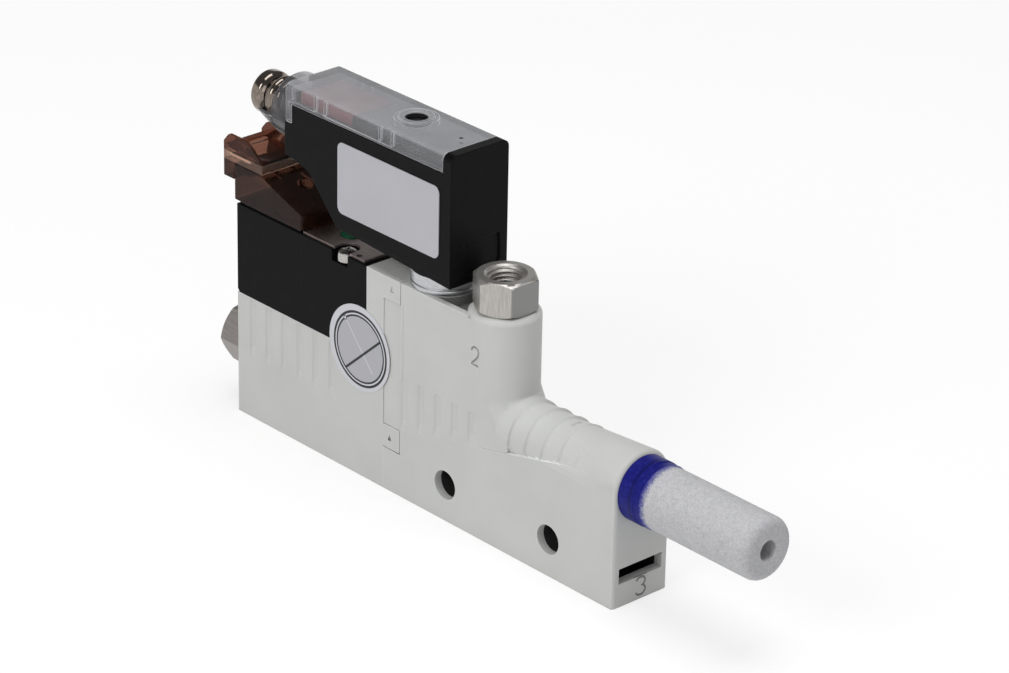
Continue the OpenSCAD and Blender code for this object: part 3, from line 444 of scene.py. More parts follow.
lidSkin = {
    "button": (39.6, 0.7), "pinhole": (51.2, 0.4),  # along and across
    "pinRadius": 0.36, "wellRadius": 2.5, "ringRadius": 3.85, "wellTop": 67.4,
    # the far and rear walls are boxes that take painted shade
    "shadedFarWall": ((13.3, 5.3, 60), (54.5, 6.5, 67.25)), "shadedRearWall": ((13.3, -1, 60), (14.45, 5.3, 67.25)),
    "nearWall": ((13.3, -6.5, 60), (54.5, -5.4, 67.1)),
}


def clearLid():
    # clear polycarbonate over the display: a milky film of light over what lies under it, with a shallow dish
    # round the button's hole and a pinhole near its front end, with painted shade in its dark places and
    # painted highlights on its edges
    material, tree, shader, place, tone = tintedPlastic("ClearPolycarbonate", "#BDBEC2", "#CFD0D4", {
        "Roughness": 0.1, "IOR": 1.5, "Specular IOR Level": 0.35})
    apart = addNode(tree, "SeparateXYZ", {0: place}).outputs
    plan = addNode(tree, "CombineXYZ", {0: apart[0], 1: apart[1]})
    away, fromPin = (
        addNode(tree, "VectorMath", {0: plan, 1: spot(*lidSkin[key], 0)}, operation="DISTANCE")
        for key in ("button", "pinhole"))
    dish = addNode(tree, "MapRange", {
        "Value": away, "From Min": 3.7 * millimetre, "From Max": 4.0 * millimetre})
    bump = addNode(tree, "Bump", {"Height": dish, "Strength": 1.0, "Distance": 0.1 * millimetre})
    ring = addNode(tree, "Math", {
        0: away, 1: lidSkin["ringRadius"] * millimetre, 2: 0.09 * millimetre}, operation="COMPARE")
    # painted shade: the button's hollow, the pinhole and the walls away from the front are painted dark, as the
    # shade of the case behind them
    shadedPinhole, inWell, under = (
        addNode(tree, "Math", {0: value, 1: lidSkin[key] * millimetre}, operation="LESS_THAN")
        for value, key in ((fromPin, "pinRadius"), (away, "wellRadius"), (apart[2], "wellTop")))
    shadedWell = addNode(tree, "Math", {0: inWell, 1: under}, operation="MULTIPLY")
    shadedFarWall, shadedRearWall, nearWall = (
        boxMask(tree, place, *lidSkin[key]) for key in ("shadedFarWall", "shadedRearWall", "nearWall"))
    # painted highlight: its edges and a fine ring round the dish are painted pale, as if catching the light
    paintedRingHighlight = addNode(tree, "Math", {0: ring, 1: 0.5}, operation="MULTIPLY")
    solid = addNode(tree, "Math", {0: edgeMask(tree, 0.3), 1: paintedRingHighlight}, operation="MAXIMUM")
    tone = addNode(tree, "Mix", {0: solid, 6: tone, 7: "#D0D0D4"}, data_type="RGBA")
    for mask, shade in ((shadedFarWall, "#4A4A4C"), (shadedRearWall, "#6A6466"), (shadedWell, "#151516"), (shadedPinhole, "#0C0C0C")):
        tone = addNode(tree, "Mix", {0: mask, 6: tone, 7: shade}, data_type="RGBA")
        solid = addNode(tree, "Math", {0: solid, 1: mask}, operation="MAXIMUM")
    # the upright wall at the front is clearer than the frosted top
    film = addNode(tree, "MapRange", {"Value": nearWall, "To Min": 0.38, "To Max": 0.17})
    cover = addNode(tree, "MapRange", {"Value": solid, "To Min": film, "To Max": 0.95})
    feed(tree, shader, {"Base Color": tone, "Alpha": cover, "Normal": bump})
    return material


def cloudedNeck():
    # clouded grey polyurethane, clear over the metal and dense in the lip under it
    material, tree, shader, place, tone = tintedPlastic("CloudedPolyurethaneGrey", "#4C4C50", "#77777C", {
        "Roughness": 0.14, "IOR": 1.45, "Specular IOR Level": 0.4})
    lip = boxMask(tree, place, (3, -6.2, 54), (13.5, 6.2, 57.3))
    cover = addNode(tree, "MapRange", {"Value": lip, "To Min": 0.5, "To Max": 0.92})
    tone = addNode(tree, "Mix", {0: lip, 6: tone, 7: "#83817F"}, data_type="RGBA")
    feed(tree, shader, {"Base Color": tone, "Alpha": cover})
    return material


def smokedPlug():
    # smoked brown polycarbonate: near black where it is thick, with a rust tone painted on its top as painted
    # light coming through, and a paler stripe round the plug's flange, partly painted highlight and partly its
    # thicker clear plastic, between painted shadow lines
    material, tree, shader, place, tone = tintedPlastic("SmokedPolycarbonateBrown", "#43291F", "#553629", {
        "Roughness": 0.12, "IOR": 1.22, "Specular IOR Level": 0.3, "Transmission Weight": 0.8})
    height = addNode(tree, "SeparateXYZ", {0: place}).outputs[2]
    # painted light: the top above the flange is painted a lighter rust, as light coming through it
    paintedGlowTop = boxMask(tree, place, (-4, -6.3, 49.8), (7.2, 6.3, 53))
    tone = addNode(tree, "Mix", {0: paintedGlowTop, 6: tone, 7: "#6B3F30"}, data_type="RGBA")
    # a pale stripe round the flange, partly painted highlight and partly thicker clear plastic, with painted
    # shadow lines along its two edges
    for middle, half, shade in ((48.75, 0.95, "#C09A86"), (47.8, 0.08, "#120B09"), (49.7, 0.08, "#120B09")):
        paintedStripe = addNode(tree, "Math", {
            0: height, 1: middle * millimetre, 2: half * millimetre}, operation="COMPARE")
        tone = addNode(tree, "Mix", {0: paintedStripe, 6: tone, 7: shade}, data_type="RGBA")
    feed(tree, shader, {"Base Color": tone})
    return material


def bareMetal(name, light, dark, roughness, streak, wear=0.08, metallic=1.0, shadedFacetBox=None):
    # machined metal: streak gives how much longer its tool marks are in X, Y and Z, and the facet in the
    # last box is painted a tone darker, as painted shade on that side
    material, tree, shader, place = startMaterial(name, {"Metallic": metallic})
    longer = addNode(tree, "Mapping", {"Vector": place, "Scale": streak})
    marks = addNode(tree, "TexNoise", {
        "Vector": longer, "Scale": 1000 / 0.35, "Detail": 4.0, "Roughness": 0.6})
    tone = addNode(tree, "ValToRGB", {0: marks}, ((0.3, dark), (0.7, light)))
    # painted shade: the facet in the box is painted a tone darker
    if shadedFacetBox:
        flat = boxMask(tree, place, *shadedFacetBox)
        tone = addNode(tree, "Mix", {0: flat, 6: tone, 7: "#888887"}, data_type="RGBA")
    shine = addNode(tree, "MapRange", {
        "Value": marks, "To Min": roughness - wear, "To Max": roughness + wear})
    rounded = addNode(tree, "Bevel", {"Radius": 0.12 * millimetre}, samples=4)
    bump = addNode(tree, "Bump", {
        "Height": marks, "Strength": 0.35, "Distance": 0.02 * millimetre, "Normal": rounded})
    feed(tree, shader, {"Base Color": tone, "Roughness": shine, "Normal": bump})
    return material


def softPart(name, shade, worn, roughness, size=0.8, level=0.5):
    # a plain moulded or coated part with a slight change of tone
    material, tree, shader, place = startMaterial(name, {"IOR": 1.5, "Specular IOR Level": level})
    clouds, grain = (addNode(tree, "TexNoise", {"Vector": place, "Scale": scale, "Detail": 3.0})
                     for scale in (1000 / (size * 4), 1000 / size))
    tone = addNode(tree, "ValToRGB", {0: clouds}, ((0.3, shade), (0.75, worn)))
    shine = addNode(tree, "MapRange", {
        "Value": grain, "To Min": roughness - 0.05, "To Max": roughness + 0.07})
    bump = addNode(tree, "Bump", {"Height": grain, "Strength": 0.3, "Distance": 0.02 * millimetre})
    feed(tree, shader, {"Base Color": tone, "Roughness": shine, "Normal": bump})
    return material


def blueCollar():
    # moulded blue acetal with a scuffed skin, and a ring of painted shade halfway along it, where a step would
    # shade it
    material, tree, shader, place = startMaterial("MouldedAcetalBlue", {"IOR": 1.5, "Specular IOR Level": 0.12})
    scuffs = addNode(tree, "TexNoise", {
        "Vector": place, "Scale": 1000 / 0.6, "Detail": 5.0, "Roughness": 0.7})
    tone = addNode(tree, "ValToRGB", {0: scuffs}, (
        (0.25, "#0E105E"), (0.55, "#181B76"), (0.8, "#30348E")))
    # painted shade: a darker ring halfway along stands in for the shade of a step
    along = addNode(tree, "SeparateXYZ", {0: place}).outputs[0]
    step = addNode(tree, "Math", {
        0: along, 1: (100.1 + rearFace) * millimetre, 2: 0.35 * millimetre}, operation="COMPARE")
    half = addNode(tree, "Math", {0: step, 1: 0.6}, operation="MULTIPLY")
    tone = addNode(tree, "Mix", {0: half, 6: tone, 7: "#0B0D48"}, data_type="RGBA")
    shine = addNode(tree, "MapRange", {"Value": scuffs, "To Min": 0.3, "To Max": 0.55})
    bump = addNode(tree, "Bump", {"Height": scuffs, "Strength": 0.5, "Distance": 0.05 * millimetre})
    feed(tree, shader, {"Base Color": tone, "Roughness": shine, "Normal": bump})
    return material


def sinteredPolyethylene():
    # sintered polyethylene: white grains with open pores, wholly matt, tinted blue where it meets the collar
    material, tree, shader, place = startMaterial("SinteredPolyethyleneWhite", {
        "Roughness": 0.95, "IOR": 1.51, "Specular IOR Level": 0.15, "Subsurface Weight": 0.15,
        "Subsurface Scale": 0.001, "Subsurface Radius": (1.0, 1.0, 1.1)})
    pores = addNode(tree, "TexVoronoi", {"Vector": place, "Scale": 1000 / 0.34})
    tone = addNode(tree, "ValToRGB", {0: pores}, ((0.25, "#CCCCCE"), (0.85, "#BCBCBF")))
    blotches = addNode(tree, "TexNoise", {
        "Vector": place, "Scale": 1000 / 0.8, "Detail": 4.0, "Roughness": 0.75})
    blotch = addNode(tree, "ValToRGB", {0: blotches}, ((0.3, "#E2E2E4"), (0.7, "#FFFFFF")))
    speckled = {0: 0.7, 6: tone, 7: blotch}
    tone = addNode(tree, "Mix", speckled, data_type="RGBA", blend_type="MULTIPLY")
    along = addNode(tree, "SeparateXYZ", {0: place}).outputs[0]
    wavy = addNode(tree, "TexNoise", {
        "Vector": place, "Scale": 1000 / 0.4, "Detail": 4.0, "Roughness": 0.8})
    ragged = addNode(tree, "Math", {0: wavy, 1: 0.0024, 2: -0.0012}, operation="MULTIPLY_ADD")
    edge = addNode(tree, "Math", {0: along, 1: ragged}, operation="ADD")
    start = (reachOf("silencer_sleeve")[0][0] + rearFace) * millimetre
    tint = addNode(tree, "MapRange", {
        "Value": edge, "From Min": start - 0.0003, "From Max": start + 0.0009, "To Min": 1.0, "To Max": 0.0})
    tone = addNode(tree, "Mix", {0: tint, 6: tone, 7: "#3B3D8F"}, data_type="RGBA")
    bump = addNode(tree, "Bump", {"Height": pores, "Strength": 0.5, "Distance": -0.08 * millimetre})
    feed(tree, shader, {"Base Color": tone, "Normal": bump})
    return material


# counted in mm from the sticker's centre, with across and up turned by its slope
stickerPrint = {
    "centre": (33.56, 0, 24.29), "slope": 41.4, "ink": "#0A0A0C", "film": "#CBCBD1", "inner": "#AEAEB4",
    "pale": "#D2D2D8", "rings": ((6.78, 0.23), (6.1, 0.17)), "line": (-1.06, 0.22),  # middle and half width
    "paleLine": ((0.11, 0.09), (0.39, 5.3)), "mark": (0.07, 0, 6.13),
}


def testSticker():
    # vinyl film printed with two rings and a slanted line, its word left out
    material, tree, shader, place = startMaterial("VinylStickerRinged", {
        "Roughness": 0.38, "IOR": 1.5, "Specular IOR Level": 0.4})
    centred = addNode(tree, "Mapping", {"Vector": place, "Location": -spot(*stickerPrint["centre"])})
    slope = (0, math.radians(stickerPrint["slope"]), 0)
    turned = addNode(tree, "Mapping", {"Vector": centred, "Rotation": slope})
    flat = addNode(tree, "VectorMath", {0: turned, 1: (1000, 0, 1000)}, operation="MULTIPLY")
    away = addNode(tree, "VectorMath", {0: flat}, operation="LENGTH")
    fromMark = addNode(tree, "VectorMath", {0: flat, 1: stickerPrint["mark"]}, operation="DISTANCE")
    apart = addNode(tree, "SeparateXYZ", {0: flat}).outputs
    outerRing, innerRing = stickerPrint["rings"]
    paleAcross, paleUp = stickerPrint["paleLine"]
    # each band is 1 within half its width of its middle
    outer, inner, line, across, up, *dots = (
        addNode(tree, "Math", {0: value, 1: middle, 2: half}, operation="COMPARE")
        for value, (middle, half) in (
            (away, outerRing), (away, innerRing), (apart[2], stickerPrint["line"]), (apart[0], paleAcross),
            (apart[2], paleUp), (fromMark, (0, 0.42)), (fromMark, (0, 0.26))))
    inside = addNode(tree, "Math", {0: away, 1: 6.05}, operation="LESS_THAN")
    line = addNode(tree, "Math", {0: line, 1: inside}, operation="MULTIPLY")
    rings = addNode(tree, "Math", {0: outer, 1: inner}, operation="MAXIMUM")
    ink = addNode(tree, "Math", {0: rings, 1: line}, operation="MAXIMUM")
    # a pale line crosses the slanted one, with a small ring at its upper end
    pale = addNode(tree, "Math", {0: across, 1: up}, operation="MULTIPLY")
    # the film is a shade darker inside the rings
    tone = stickerPrint["film"]
    for mask, shade in ((inside, "inner"), (pale, "pale"), (ink, "ink"), (dots[0], "ink"), (dots[1], "pale")):
        tone = addNode(tree, "Mix", {0: mask, 6: tone, 7: stickerPrint[shade]}, data_type="RGBA")
    waves = addNode(tree, "TexNoise", {"Vector": place, "Scale": 1000 / 2.5, "Detail": 3.0})
    bump = addNode(tree, "Bump", {"Height": waves, "Strength": 0.2, "Distance": 0.02 * millimetre})
    feed(tree, shader, {"Base Color": tone, "Normal": bump})
    return material


bodyPlastic = mouldedPolyamide()
valveBlack = blackPolyester("MouldedPbtBlack", 0.3, "#09090A", "#101011", 0.05)
switchBlack = blackPolyester("TexturedPbtBlack", 0.45, "#09090A", "#0F0F10", 0.06)
lidClear = clearLid()
plugBrown = smokedPlug()
collarGrey = cloudedNeck()
# the hex facet that faces along X is painted darker, as painted shade
steelTurned = bareMetal("NickelPlatedBrassTurned", "#C2BFBA", "#A4A19C", 0.4, (1.6, 1.6, 0.16), 0.05, 0.8,
                        ((68.0, -5, 41.1), (68.4, 5, 46.9)))
steelSide = bareMetal("NickelPlatedBrassHex", "#9F9995", "#8D8885", 0.42, (0.16, 1, 1), 0.05, 0.9)
nickel = bareMetal("NickelPlatedCoupling", "#988D84", "#685F58", 0.1, (3, 0.4, 0.4), 0.03)
zincSteel = bareMetal("ZincPlatedSteel", "#C9C7C3", "#A09C96", 0.26, (1, 1, 1))
aluminium = bareMetal("TurnedAluminium", "#D2D3D5", "#A9AAAD", 0.34, (0.5, 0.5, 3))
brass = bareMetal("TurnedBrass", "#C9A65A", "#A88745", 0.3, (3, 1, 1))
gold = bareMetal("GoldFlashedContact", "#D8B25E", "#B98F42", 0.25, (1, 1, 1))
plateMetal = bareMetal("StampedSteelPlate", "#A89A96", "#857976", 0.42, (0.2, 1, 1))
ironCore = bareMetal("FerriticSteelGround", "#B9B8B6", "#939290", 0.3, (1, 3, 3))
copperWire = softPart("EnamelledCopperWire", "#7A3418", "#9A4A22", 0.35, 0.4)
blueAcetal = blueCollar()
nitrile = softPart("NitrileRubber", "#121213", "#1E1E1F", 0.6, 0.6, 0.3)
glassNylon = softPart("GlassNylonIvory", "#CFC8B4", "#DDD7C6", 0.5)
greenPolyamide = softPart("MouldedPolyamideGreen", "#0A4A30", "#0D5537", 0.4, 1.0, 0.12)
boardLaminate = softPart("GlassEpoxyBoard", "#1C4A33", "#28603F", 0.4, 0.5)
darkRed = softPart("RedEpoxyDisplay", "#742A2C", "#8A3C3E", 0.3, 2.0)
insertBlack = softPart("GlassNylonBlack", "#19191A", "#242425", 0.45, 0.6, 0.4)
labelFilm = softPart("PolyesterLabelFilm", "#B5B5BB", "#BABAC0", 0.4, 2.5, 0.2)
lensGreen = softPart("EpoxyLightLens", "#3F8A4A", "#58A862", 0.2, 1.0)
partsGrey = softPart("MouldedEpoxyChips", "#2A2A2C", "#8A8880", 0.5, 0.5)
sleeveWhite = sinteredPolyethylene()
stickerFilm = testSticker()
print("materials built")


# the body's two modules, with their numerals, marks and grip grooves
body = {
    "side": -6.26,  # across: where strokes that are cut into the near side run
    "numeralWidth": 0.23, "markWidth": 0.12, "partingWidth": 0.09,
    "two": (61.95, 32.0, 1.7, 3.3), "three": (-0.9, 0.75, 2.2, 3.3),  # left, bottom, width and height
    "rise": 0.225, "seamLine": (44.6, 22.8, 36.4),  # along, lowest and highest
    "marks": ((41.25, 9.7, 1.0), (41.25, 9.9, 0.45), (41.6, 37.9, 1.0)),  # along, up and size
    "gripPitch": 4.3, "gripHalf": 0.84, "gripFloor": 5.9, "footRise": 2.3,
    "rearGrip": 4.2, "rearGrips": 6, "rearGripFoot": 12.0,
    "frontGrip": 44.95, "frontGrips": 5, "frontGripFoot": 12.7,
}

rearModule = nodeCopy("valve_base", "rearModule")
frontModule = nodeCopy("ejector_body", "frontModule")


def numeralTwo(left, bottom, wide, high):
    # bowl, slanted stroke and foot, as places along and up
    turns = [math.radians(degrees) for degrees in range(0, 181, 15)]
    top = [(left + wide / 2 - wide / 2 * math.cos(turn), bottom + high - wide / 2 + wide / 2 * math.sin(turn))
           for turn in turns]
    tail = [(left + wide * 0.93, bottom + high * 0.55), (left + wide * 0.6, bottom + high * 0.33),
            (left + wide * 0.12, bottom + high * 0.1), (left, bottom), (left + wide, bottom)]
    return top + tail


def numeralThree(left, bottom, wide, high):
    # two bowls, as places across and up
    middle = left + wide / 2
    upper, lower = high * 0.25, high * 0.27
    upperTurns = [math.radians(degrees) for degrees in range(20, 250, 15)]
    lowerTurns = [math.radians(degrees) for degrees in range(10, 255, 15)]
    points = [(middle - wide * 0.46 * math.cos(turn), bottom + high - upper + upper * math.sin(turn))
              for turn in upperTurns]
    points += [(middle + wide / 2 * math.sin(turn), bottom + lower + lower * math.cos(turn))
               for turn in lowerTurns]
    return points


twoLine = [spot(along, -6.27, up) for along, up in numeralTwo(*body["two"])]
threeLine = [spot(97.42, across, up) for across, up in numeralThree(*body["three"])]
riseLine = [spot(along, body["side"], body["frontGripFoot"] + body["rise"] * (along - 44.25))
            for along in range(62, 72)]
seamAlong, seamLow, seamHigh = body["seamLine"]
seamLine = [spot(seamAlong, body["side"], up) for up in (seamLow, seamHigh)]
carve(frontModule, tubeAlong("cutTwo", [twoLine], body["numeralWidth"]))
carve(frontModule, tubeAlong("cutThree", [threeLine], body["numeralWidth"]))
carve(frontModule, tubeAlong("cutLine", [riseLine, seamLine], body["partingWidth"]))

triangle = ((-0.35, 0), (0.35, 0), (0, 1.0), (-0.35, 0))
marks = [[spot(along + size * x, body["side"], up + size * z) for x, z in triangle]
         for along, up, size in body["marks"]]
carve(rearModule, tubeAlong("cutMarks", marks, body["markWidth"]))


def gripFoot(along, up, side):
    # the corners of a wedge that lets a grip groove run out into one side of the body
    low, floor = up - 0.05, side * body["gripFloor"]
    outline = ((side * 6.245, low), (floor, low), (floor, up + body["footRise"]))
    return [spot(along + x, across, z) for x in (-body["gripHalf"], body["gripHalf"]) for across, z in outline]


def gripFeet():
    pitch = body["gripPitch"]
    places = [(body["rearGrip"] + pitch * i, body["rearGripFoot"]) for i in range(body["rearGrips"])]
    places += [(body["frontGrip"] + pitch * i, body["frontGripFoot"] + body["rise"] * (0.7 + pitch * i))
               for i in range(body["frontGrips"])]
    work = bmesh.new()
    for along, up in places:
        for side in (-1, 1):
            verts = [work.verts.new(corner) for corner in gripFoot(along, up, side)]
            for face in ((0, 1, 2), (3, 5, 4), (0, 3, 4, 1), (1, 4, 5, 2), (2, 5, 3, 0)):
                work.faces.new([verts[i] for i in face])
    bmesh.ops.recalc_face_normals(work, faces=work.faces)
    mesh = bpy.data.meshes.new("gripFeet")
    work.to_mesh(mesh)
    work.free()
    return newObject("gripFeet", mesh)


dress(gripFeet(), "body", bodyPlastic)
dress(rearModule, "body", bodyPlastic, ["valve_base"])
dress(frontModule, "body", bodyPlastic, ["ejector_body"])
print("body built")

# the port fittings, with threads in their bores
port = {"bore": 3.0, "pitch": 0.8, "turns": 9.0, "depth": 0.36, "inset": 1.6}


def wound(name, radius, pitch, turns, depth, material, centre, axis):
    # a thread from the tree, set with its first turn at centre
    bead = newObject(name, bpy.data.meshes.new(name))
    runTree(bead, threads, {"Radius": radius * millimetre, "Pitch": pitch * millimetre, "Turns": turns,
                            "Depth": depth * millimetre, "Material": material})
    bead.data.transform(turnedTo(axis, centre))
    return bead


vacuumPort = spot(middleOf("vacuum_port_fitting")[0], 0, reachOf("ejector_body")[1][2] - port["inset"])
supplyPort = spot(port["inset"], 0, middleOf("supply_port_fitting")[2])
for nodeName, pieceName, centre, axis, finish in (
        ("vacuum_port_fitting", "vacuumFitting", vacuumPort, (0, 0, 1), steelTurned),
        ("supply_port_fitting", "supplyFitting", supplyPort, (-1, 0, 0), steelSide)):
    fitting = nodeCopy(nodeName, pieceName)
    dress(fitting, "body", finish, [nodeName], 24)
    thread = wound(pieceName + "Thread", port["bore"], port["pitch"], port["turns"], port["depth"], finish,
                   centre, axis)
    dress(thread, "body", finish, [], 60)
print("fittings built")

# the silencer: its collar and a sleeve of sintered grains
silencer = {
    "collarRound": 0.12, "radius": 5.55, "hole": 1.75, "length": 23.64, "corner": 1.6,
    "lap": 0.55,  # how far the sleeve's skirt reaches over the collar
    "step": 0.2, "grain": 0.26, "relief": 0.07, "seed": 4.0,
}

collar = roundEdges(nodeCopy("silencer_collar", "silencerCollar"), silencer["collarRound"], 2, 30)
dress(collar, "body", blueAcetal, ["silencer_collar"])


def sleeveProfile():
    # from the hole's inner end, round the outside and back through the hole
    radius, hole, reach, corner, lap, step = (
        silencer[key] for key in ("radius", "hole", "length", "corner", "lap", "step"))
    points = [(hole + 1.2, 0.05), (radius - 0.3, 0.05), (radius + 0.02, -0.02), (radius + 0.1, -lap),
              (radius + 0.16, -lap + 0.2)]
    along = step
    while along < reach - corner:
        points.append((radius, along))
        along += step
    for i in range(13):
        turn = math.radians(90 * i / 12)
        points.append((radius - corner + corner * math.cos(turn), reach - corner + corner * math.sin(turn)))
    ring = radius - corner - step
    while ring > hole + 0.35:
        points.append((ring, reach))
        ring -= step
    points += [(hole + 0.1, reach - 0.08), (hole, reach - 0.35)]
    points += [(hole, reach - 1.0 - 1.3 * i) for i in range(15)]
    return points


sleeveStart = spot(reachOf("silencer_sleeve")[0][0], 0, middleOf("silencer_sleeve")[2])
sleeve = lathe("silencerSleeve", sleeveProfile(), sleeveStart, (1, 0, 0), 168)
smoothShade(sleeve, 70)
runTree(sleeve, grainTree, {"Grain": silencer["grain"] * millimetre, "Relief": silencer["relief"] * millimetre,
                            "Seed": silencer["seed"], "Material": sleeveWhite})
dress(sleeve, "body", sleeveWhite, ["silencer_sleeve"], 180)
print("silencer built")

# the solenoid valve, its cross-recessed screws and the round sticker
valve = {
    "crossLength": 2.3, "crossWidth": 0.34, "crossDepth": 1.6, "crossTurns": (35, 125), "crossUp": 39.9,
    "screwSide": 4.35, "screwSeat": 38.4,
    "screw": ((0, -15.0), (0.85, -15.0), (0.85, 0.1), (1.55, 0.1), (1.85, 0.35), (1.85, 1.5), (1.72, 1.85),
              (1.3, 2.12), (0.7, 2.28), (0, 2.34)),
    "sticker": (33.3, 0, 24.4), "stickerRadius": 7.95, "knobRound": 0.16,
}

coilCover = nodeCopy("coil_housing", "coilCover")
dress(coilCover, "body", valveBlack, ["coil_housing"])
ductBlock = nodeCopy("valve_body", "ductBlock")
dress(ductBlock, "body", valveBlack, ["valve_body"])
topPlate = nodeCopy("valve_plate", "topPlate")
dress(topPlate, "body", plateMetal, ["valve_plate"])
overrideKnob = roundEdges(nodeCopy("override_button", "overrideKnob"), valve["knobRound"], 3, 30)
dress(overrideKnob, "override_button", greenPolyamide, ["override_button"])

screwAlong = middleOf("valve_screws")[0]
for side, word in ((-1, "Near"), (1, "Far")):
    across = valve["screwSide"] * side
    seat = spot(screwAlong, across, valve["screwSeat"])
    head = lathe("valveScrew" + word, valve["screw"], seat, (0, 0, 1), 48, False)
    for turn in valve["crossTurns"]:
        arm = boxMesh("arm", (0, 0, 0), (1, 1, 1))
        arm.data.transform(Matrix.Translation(-spot(0.5, 0.5, 0)))
        arm.data.transform(Matrix.Diagonal((valve["crossLength"], valve["crossWidth"], valve["crossDepth"], 1)))
        turned = Matrix.Rotation(math.radians(turn), 4, "Z")
        arm.data.transform(Matrix.Translation(spot(screwAlong, across, valve["crossUp"])) @ turned)
        carve(head, arm)
    dress(head, "body", zincSteel, ["valve_screws"], 30)
rim = valve["stickerRadius"]
sticker = lathe("ringedSticker", [(0, 6.26), (rim, 6.26), (rim, 6.38), (rim - 0.05, 6.4), (0, 6.4)],
                spot(*valve["sticker"]), (0, -1, 0), 96, False)
dress(sticker, "body", stickerFilm, ["round_sticker"])
print("valve built")

# the plug on the valve
plug = {"footRound": 0.25, "topRound": 0.18, "screwRound": 0.1}

plugFoot = roundEdges(nodeCopy("plug_base", "plugFoot"), plug["footRound"], 3)
dress(plugFoot, "body", plugBrown, ["plug_base"])
plugTop = roundEdges(nodeCopy("plug_head", "plugTop"), plug["topRound"])
dress(plugTop, "body", plugBrown, ["plug_head"])
plugScrew = roundEdges(nodeCopy("plug_screw", "plugScrew"), plug["screwRound"])
dress(plugScrew, "body", zincSteel, ["plug_screw"])
print("plug built")

# the vacuum switch, with what shows under its clear lid
switch = {
    "lidRound": 0.35, "ringRound": 0.14, "latchWidth": 0.2,
    "latch": ((-3.3, 50.7), (2.5, 50.9), (4.6, 49.8), (4.7, 46.2)),  # across and up, on the front face
    "tray": ((14.7, -4.9, 63.7), (38.6, 9.8, 1.9)),  # lowest corner and size
    "trayWindow": ((14.9, -5.2, 60), (14.6, 9.9, 8)), "trayRoom": ((29.7, -4.7, 60), (23.4, 9.4, 5.4)),
    "buttonHole": 2.3, "boardLength": 20, "boardWidth": 6, "boardPart": 1.7, "boardMiddle": (40.5, 0, 63.9),
    "seed": 7,
    "button": ((0, 64.85), (1.0, 64.85), (1.0, 65.35), (1.88, 65.35), (1.88, 66.35), (1.7, 66.55), (1.3, 66.5),
               (0.7, 66.32), (0, 66.28)),
}

switchCase = nodeCopy("switch_housing", "switchCase")
switchFront = reachOf("switch_housing")[1][0] + 0.02
latch = [spot(switchFront, across, up) for across, up in switch["latch"]]
carve(switchCase, tubeAlong("cutLatch", [latch], switch["latchWidth"]))
dress(switchCase, "body", switchBlack, ["switch_housing"])
lidCover = roundEdges(nodeCopy("switch_lid", "lidCover"), switch["lidRound"], 3)
dress(lidCover, "body", lidClear, ["switch_lid"])

# a dark frame round the display, with the button's hole in its mask
buttonAlong, buttonAcross, _ = middleOf("teach_button")
tray = boxMesh("displayFrame", *switch["tray"])
carve(tray, boxMesh("cutDisplay", *switch["trayWindow"]))
carve(tray, boxMesh("cutUnder", *switch["trayRoom"]))
hole = switch["buttonHole"]
carve(tray, lathe("cutButton", [(0, -9), (hole, -9), (hole, 9), (0, 9)], spot(buttonAlong, buttonAcross, 63),
                  (0, 0, 1), 40, False))
dress(tray, "body", insertBlack)

boardParts = newObject("boardParts", bpy.data.meshes.new("boardParts"))
runTree(boardParts, boardTree, {
    "Length": switch["boardLength"] * millimetre, "Width": switch["boardWidth"] * millimetre,
    "Part": switch["boardPart"] * millimetre, "Seed": switch["seed"], "Material": partsGrey})
boardParts.data.transform(Matrix.Translation(spot(*switch["boardMiddle"])))
dress(boardParts, "body", partsGrey)

teachKnob = lathe("teachKnob", switch["button"], spot(buttonAlong, buttonAcross, 0), (0, 0, 1), 48, False)
dress(teachKnob, "teach_button", insertBlack, ["teach_button"])
baseRing = roundEdges(nodeCopy("switch_ring", "baseRing"), switch["ringRound"], 2, 40)
dress(baseRing, "body", aluminium, ["switch_ring"])
print("switch built")

# the round connector: the shell's crests from its mouth to its tail, then back through the bore
connector = {
    "crests": ((3.1, 0), (3.55, 0), (3.85, 0.12), (4.0, 0.4), (4.0, 1.75), (3.92, 2.05), (3.5, 2.4), (3.1, 2.7),
               (3.05, 3.3), (3.45, 3.7), (3.85, 4.15), (3.97, 4.5), (3.97, 4.85), (3.8, 5.15), (3.3, 5.5),
               (3.1, 5.8), (3.25, 6.05), (3.7, 6.3), (3.95, 6.55), (3.95, 6.85), (3.7, 7.15), (3.3, 7.5)),
    "tail": ((3.3, 11.4), (2.9, 11.4), (2.9, 14.2), (1.2, 14.2), (1.2, 8.4), (3.1, 8.4)),
    "threadRadius": 3.5, "pitch": 1.0, "turns": 4.0, "depth": 0.22, "threadStart": 3.6, "neckRound": 0.2,
}

mouth, axisUp = reachOf("m8_shell")[0][0], middleOf("m8_shell")[2]
coupling = lathe("couplingShell", connector["crests"] + connector["tail"], spot(mouth, 0, axisUp), (1, 0, 0))
dress(coupling, "body", nickel, ["m8_shell"], 40)
couplingThread = wound("couplingThread", connector["threadRadius"], connector["pitch"], connector["turns"],
                       connector["depth"], nickel, spot(mouth + connector["threadStart"], 0, axisUp), (1, 0, 0))
dress(couplingThread, "body", nickel, [], 60)
neck = roundEdges(nodeCopy("connector_collar", "couplingNeck"), connector["neckRound"])
dress(neck, "body", collarGrey, ["connector_collar"])
print("connector built")

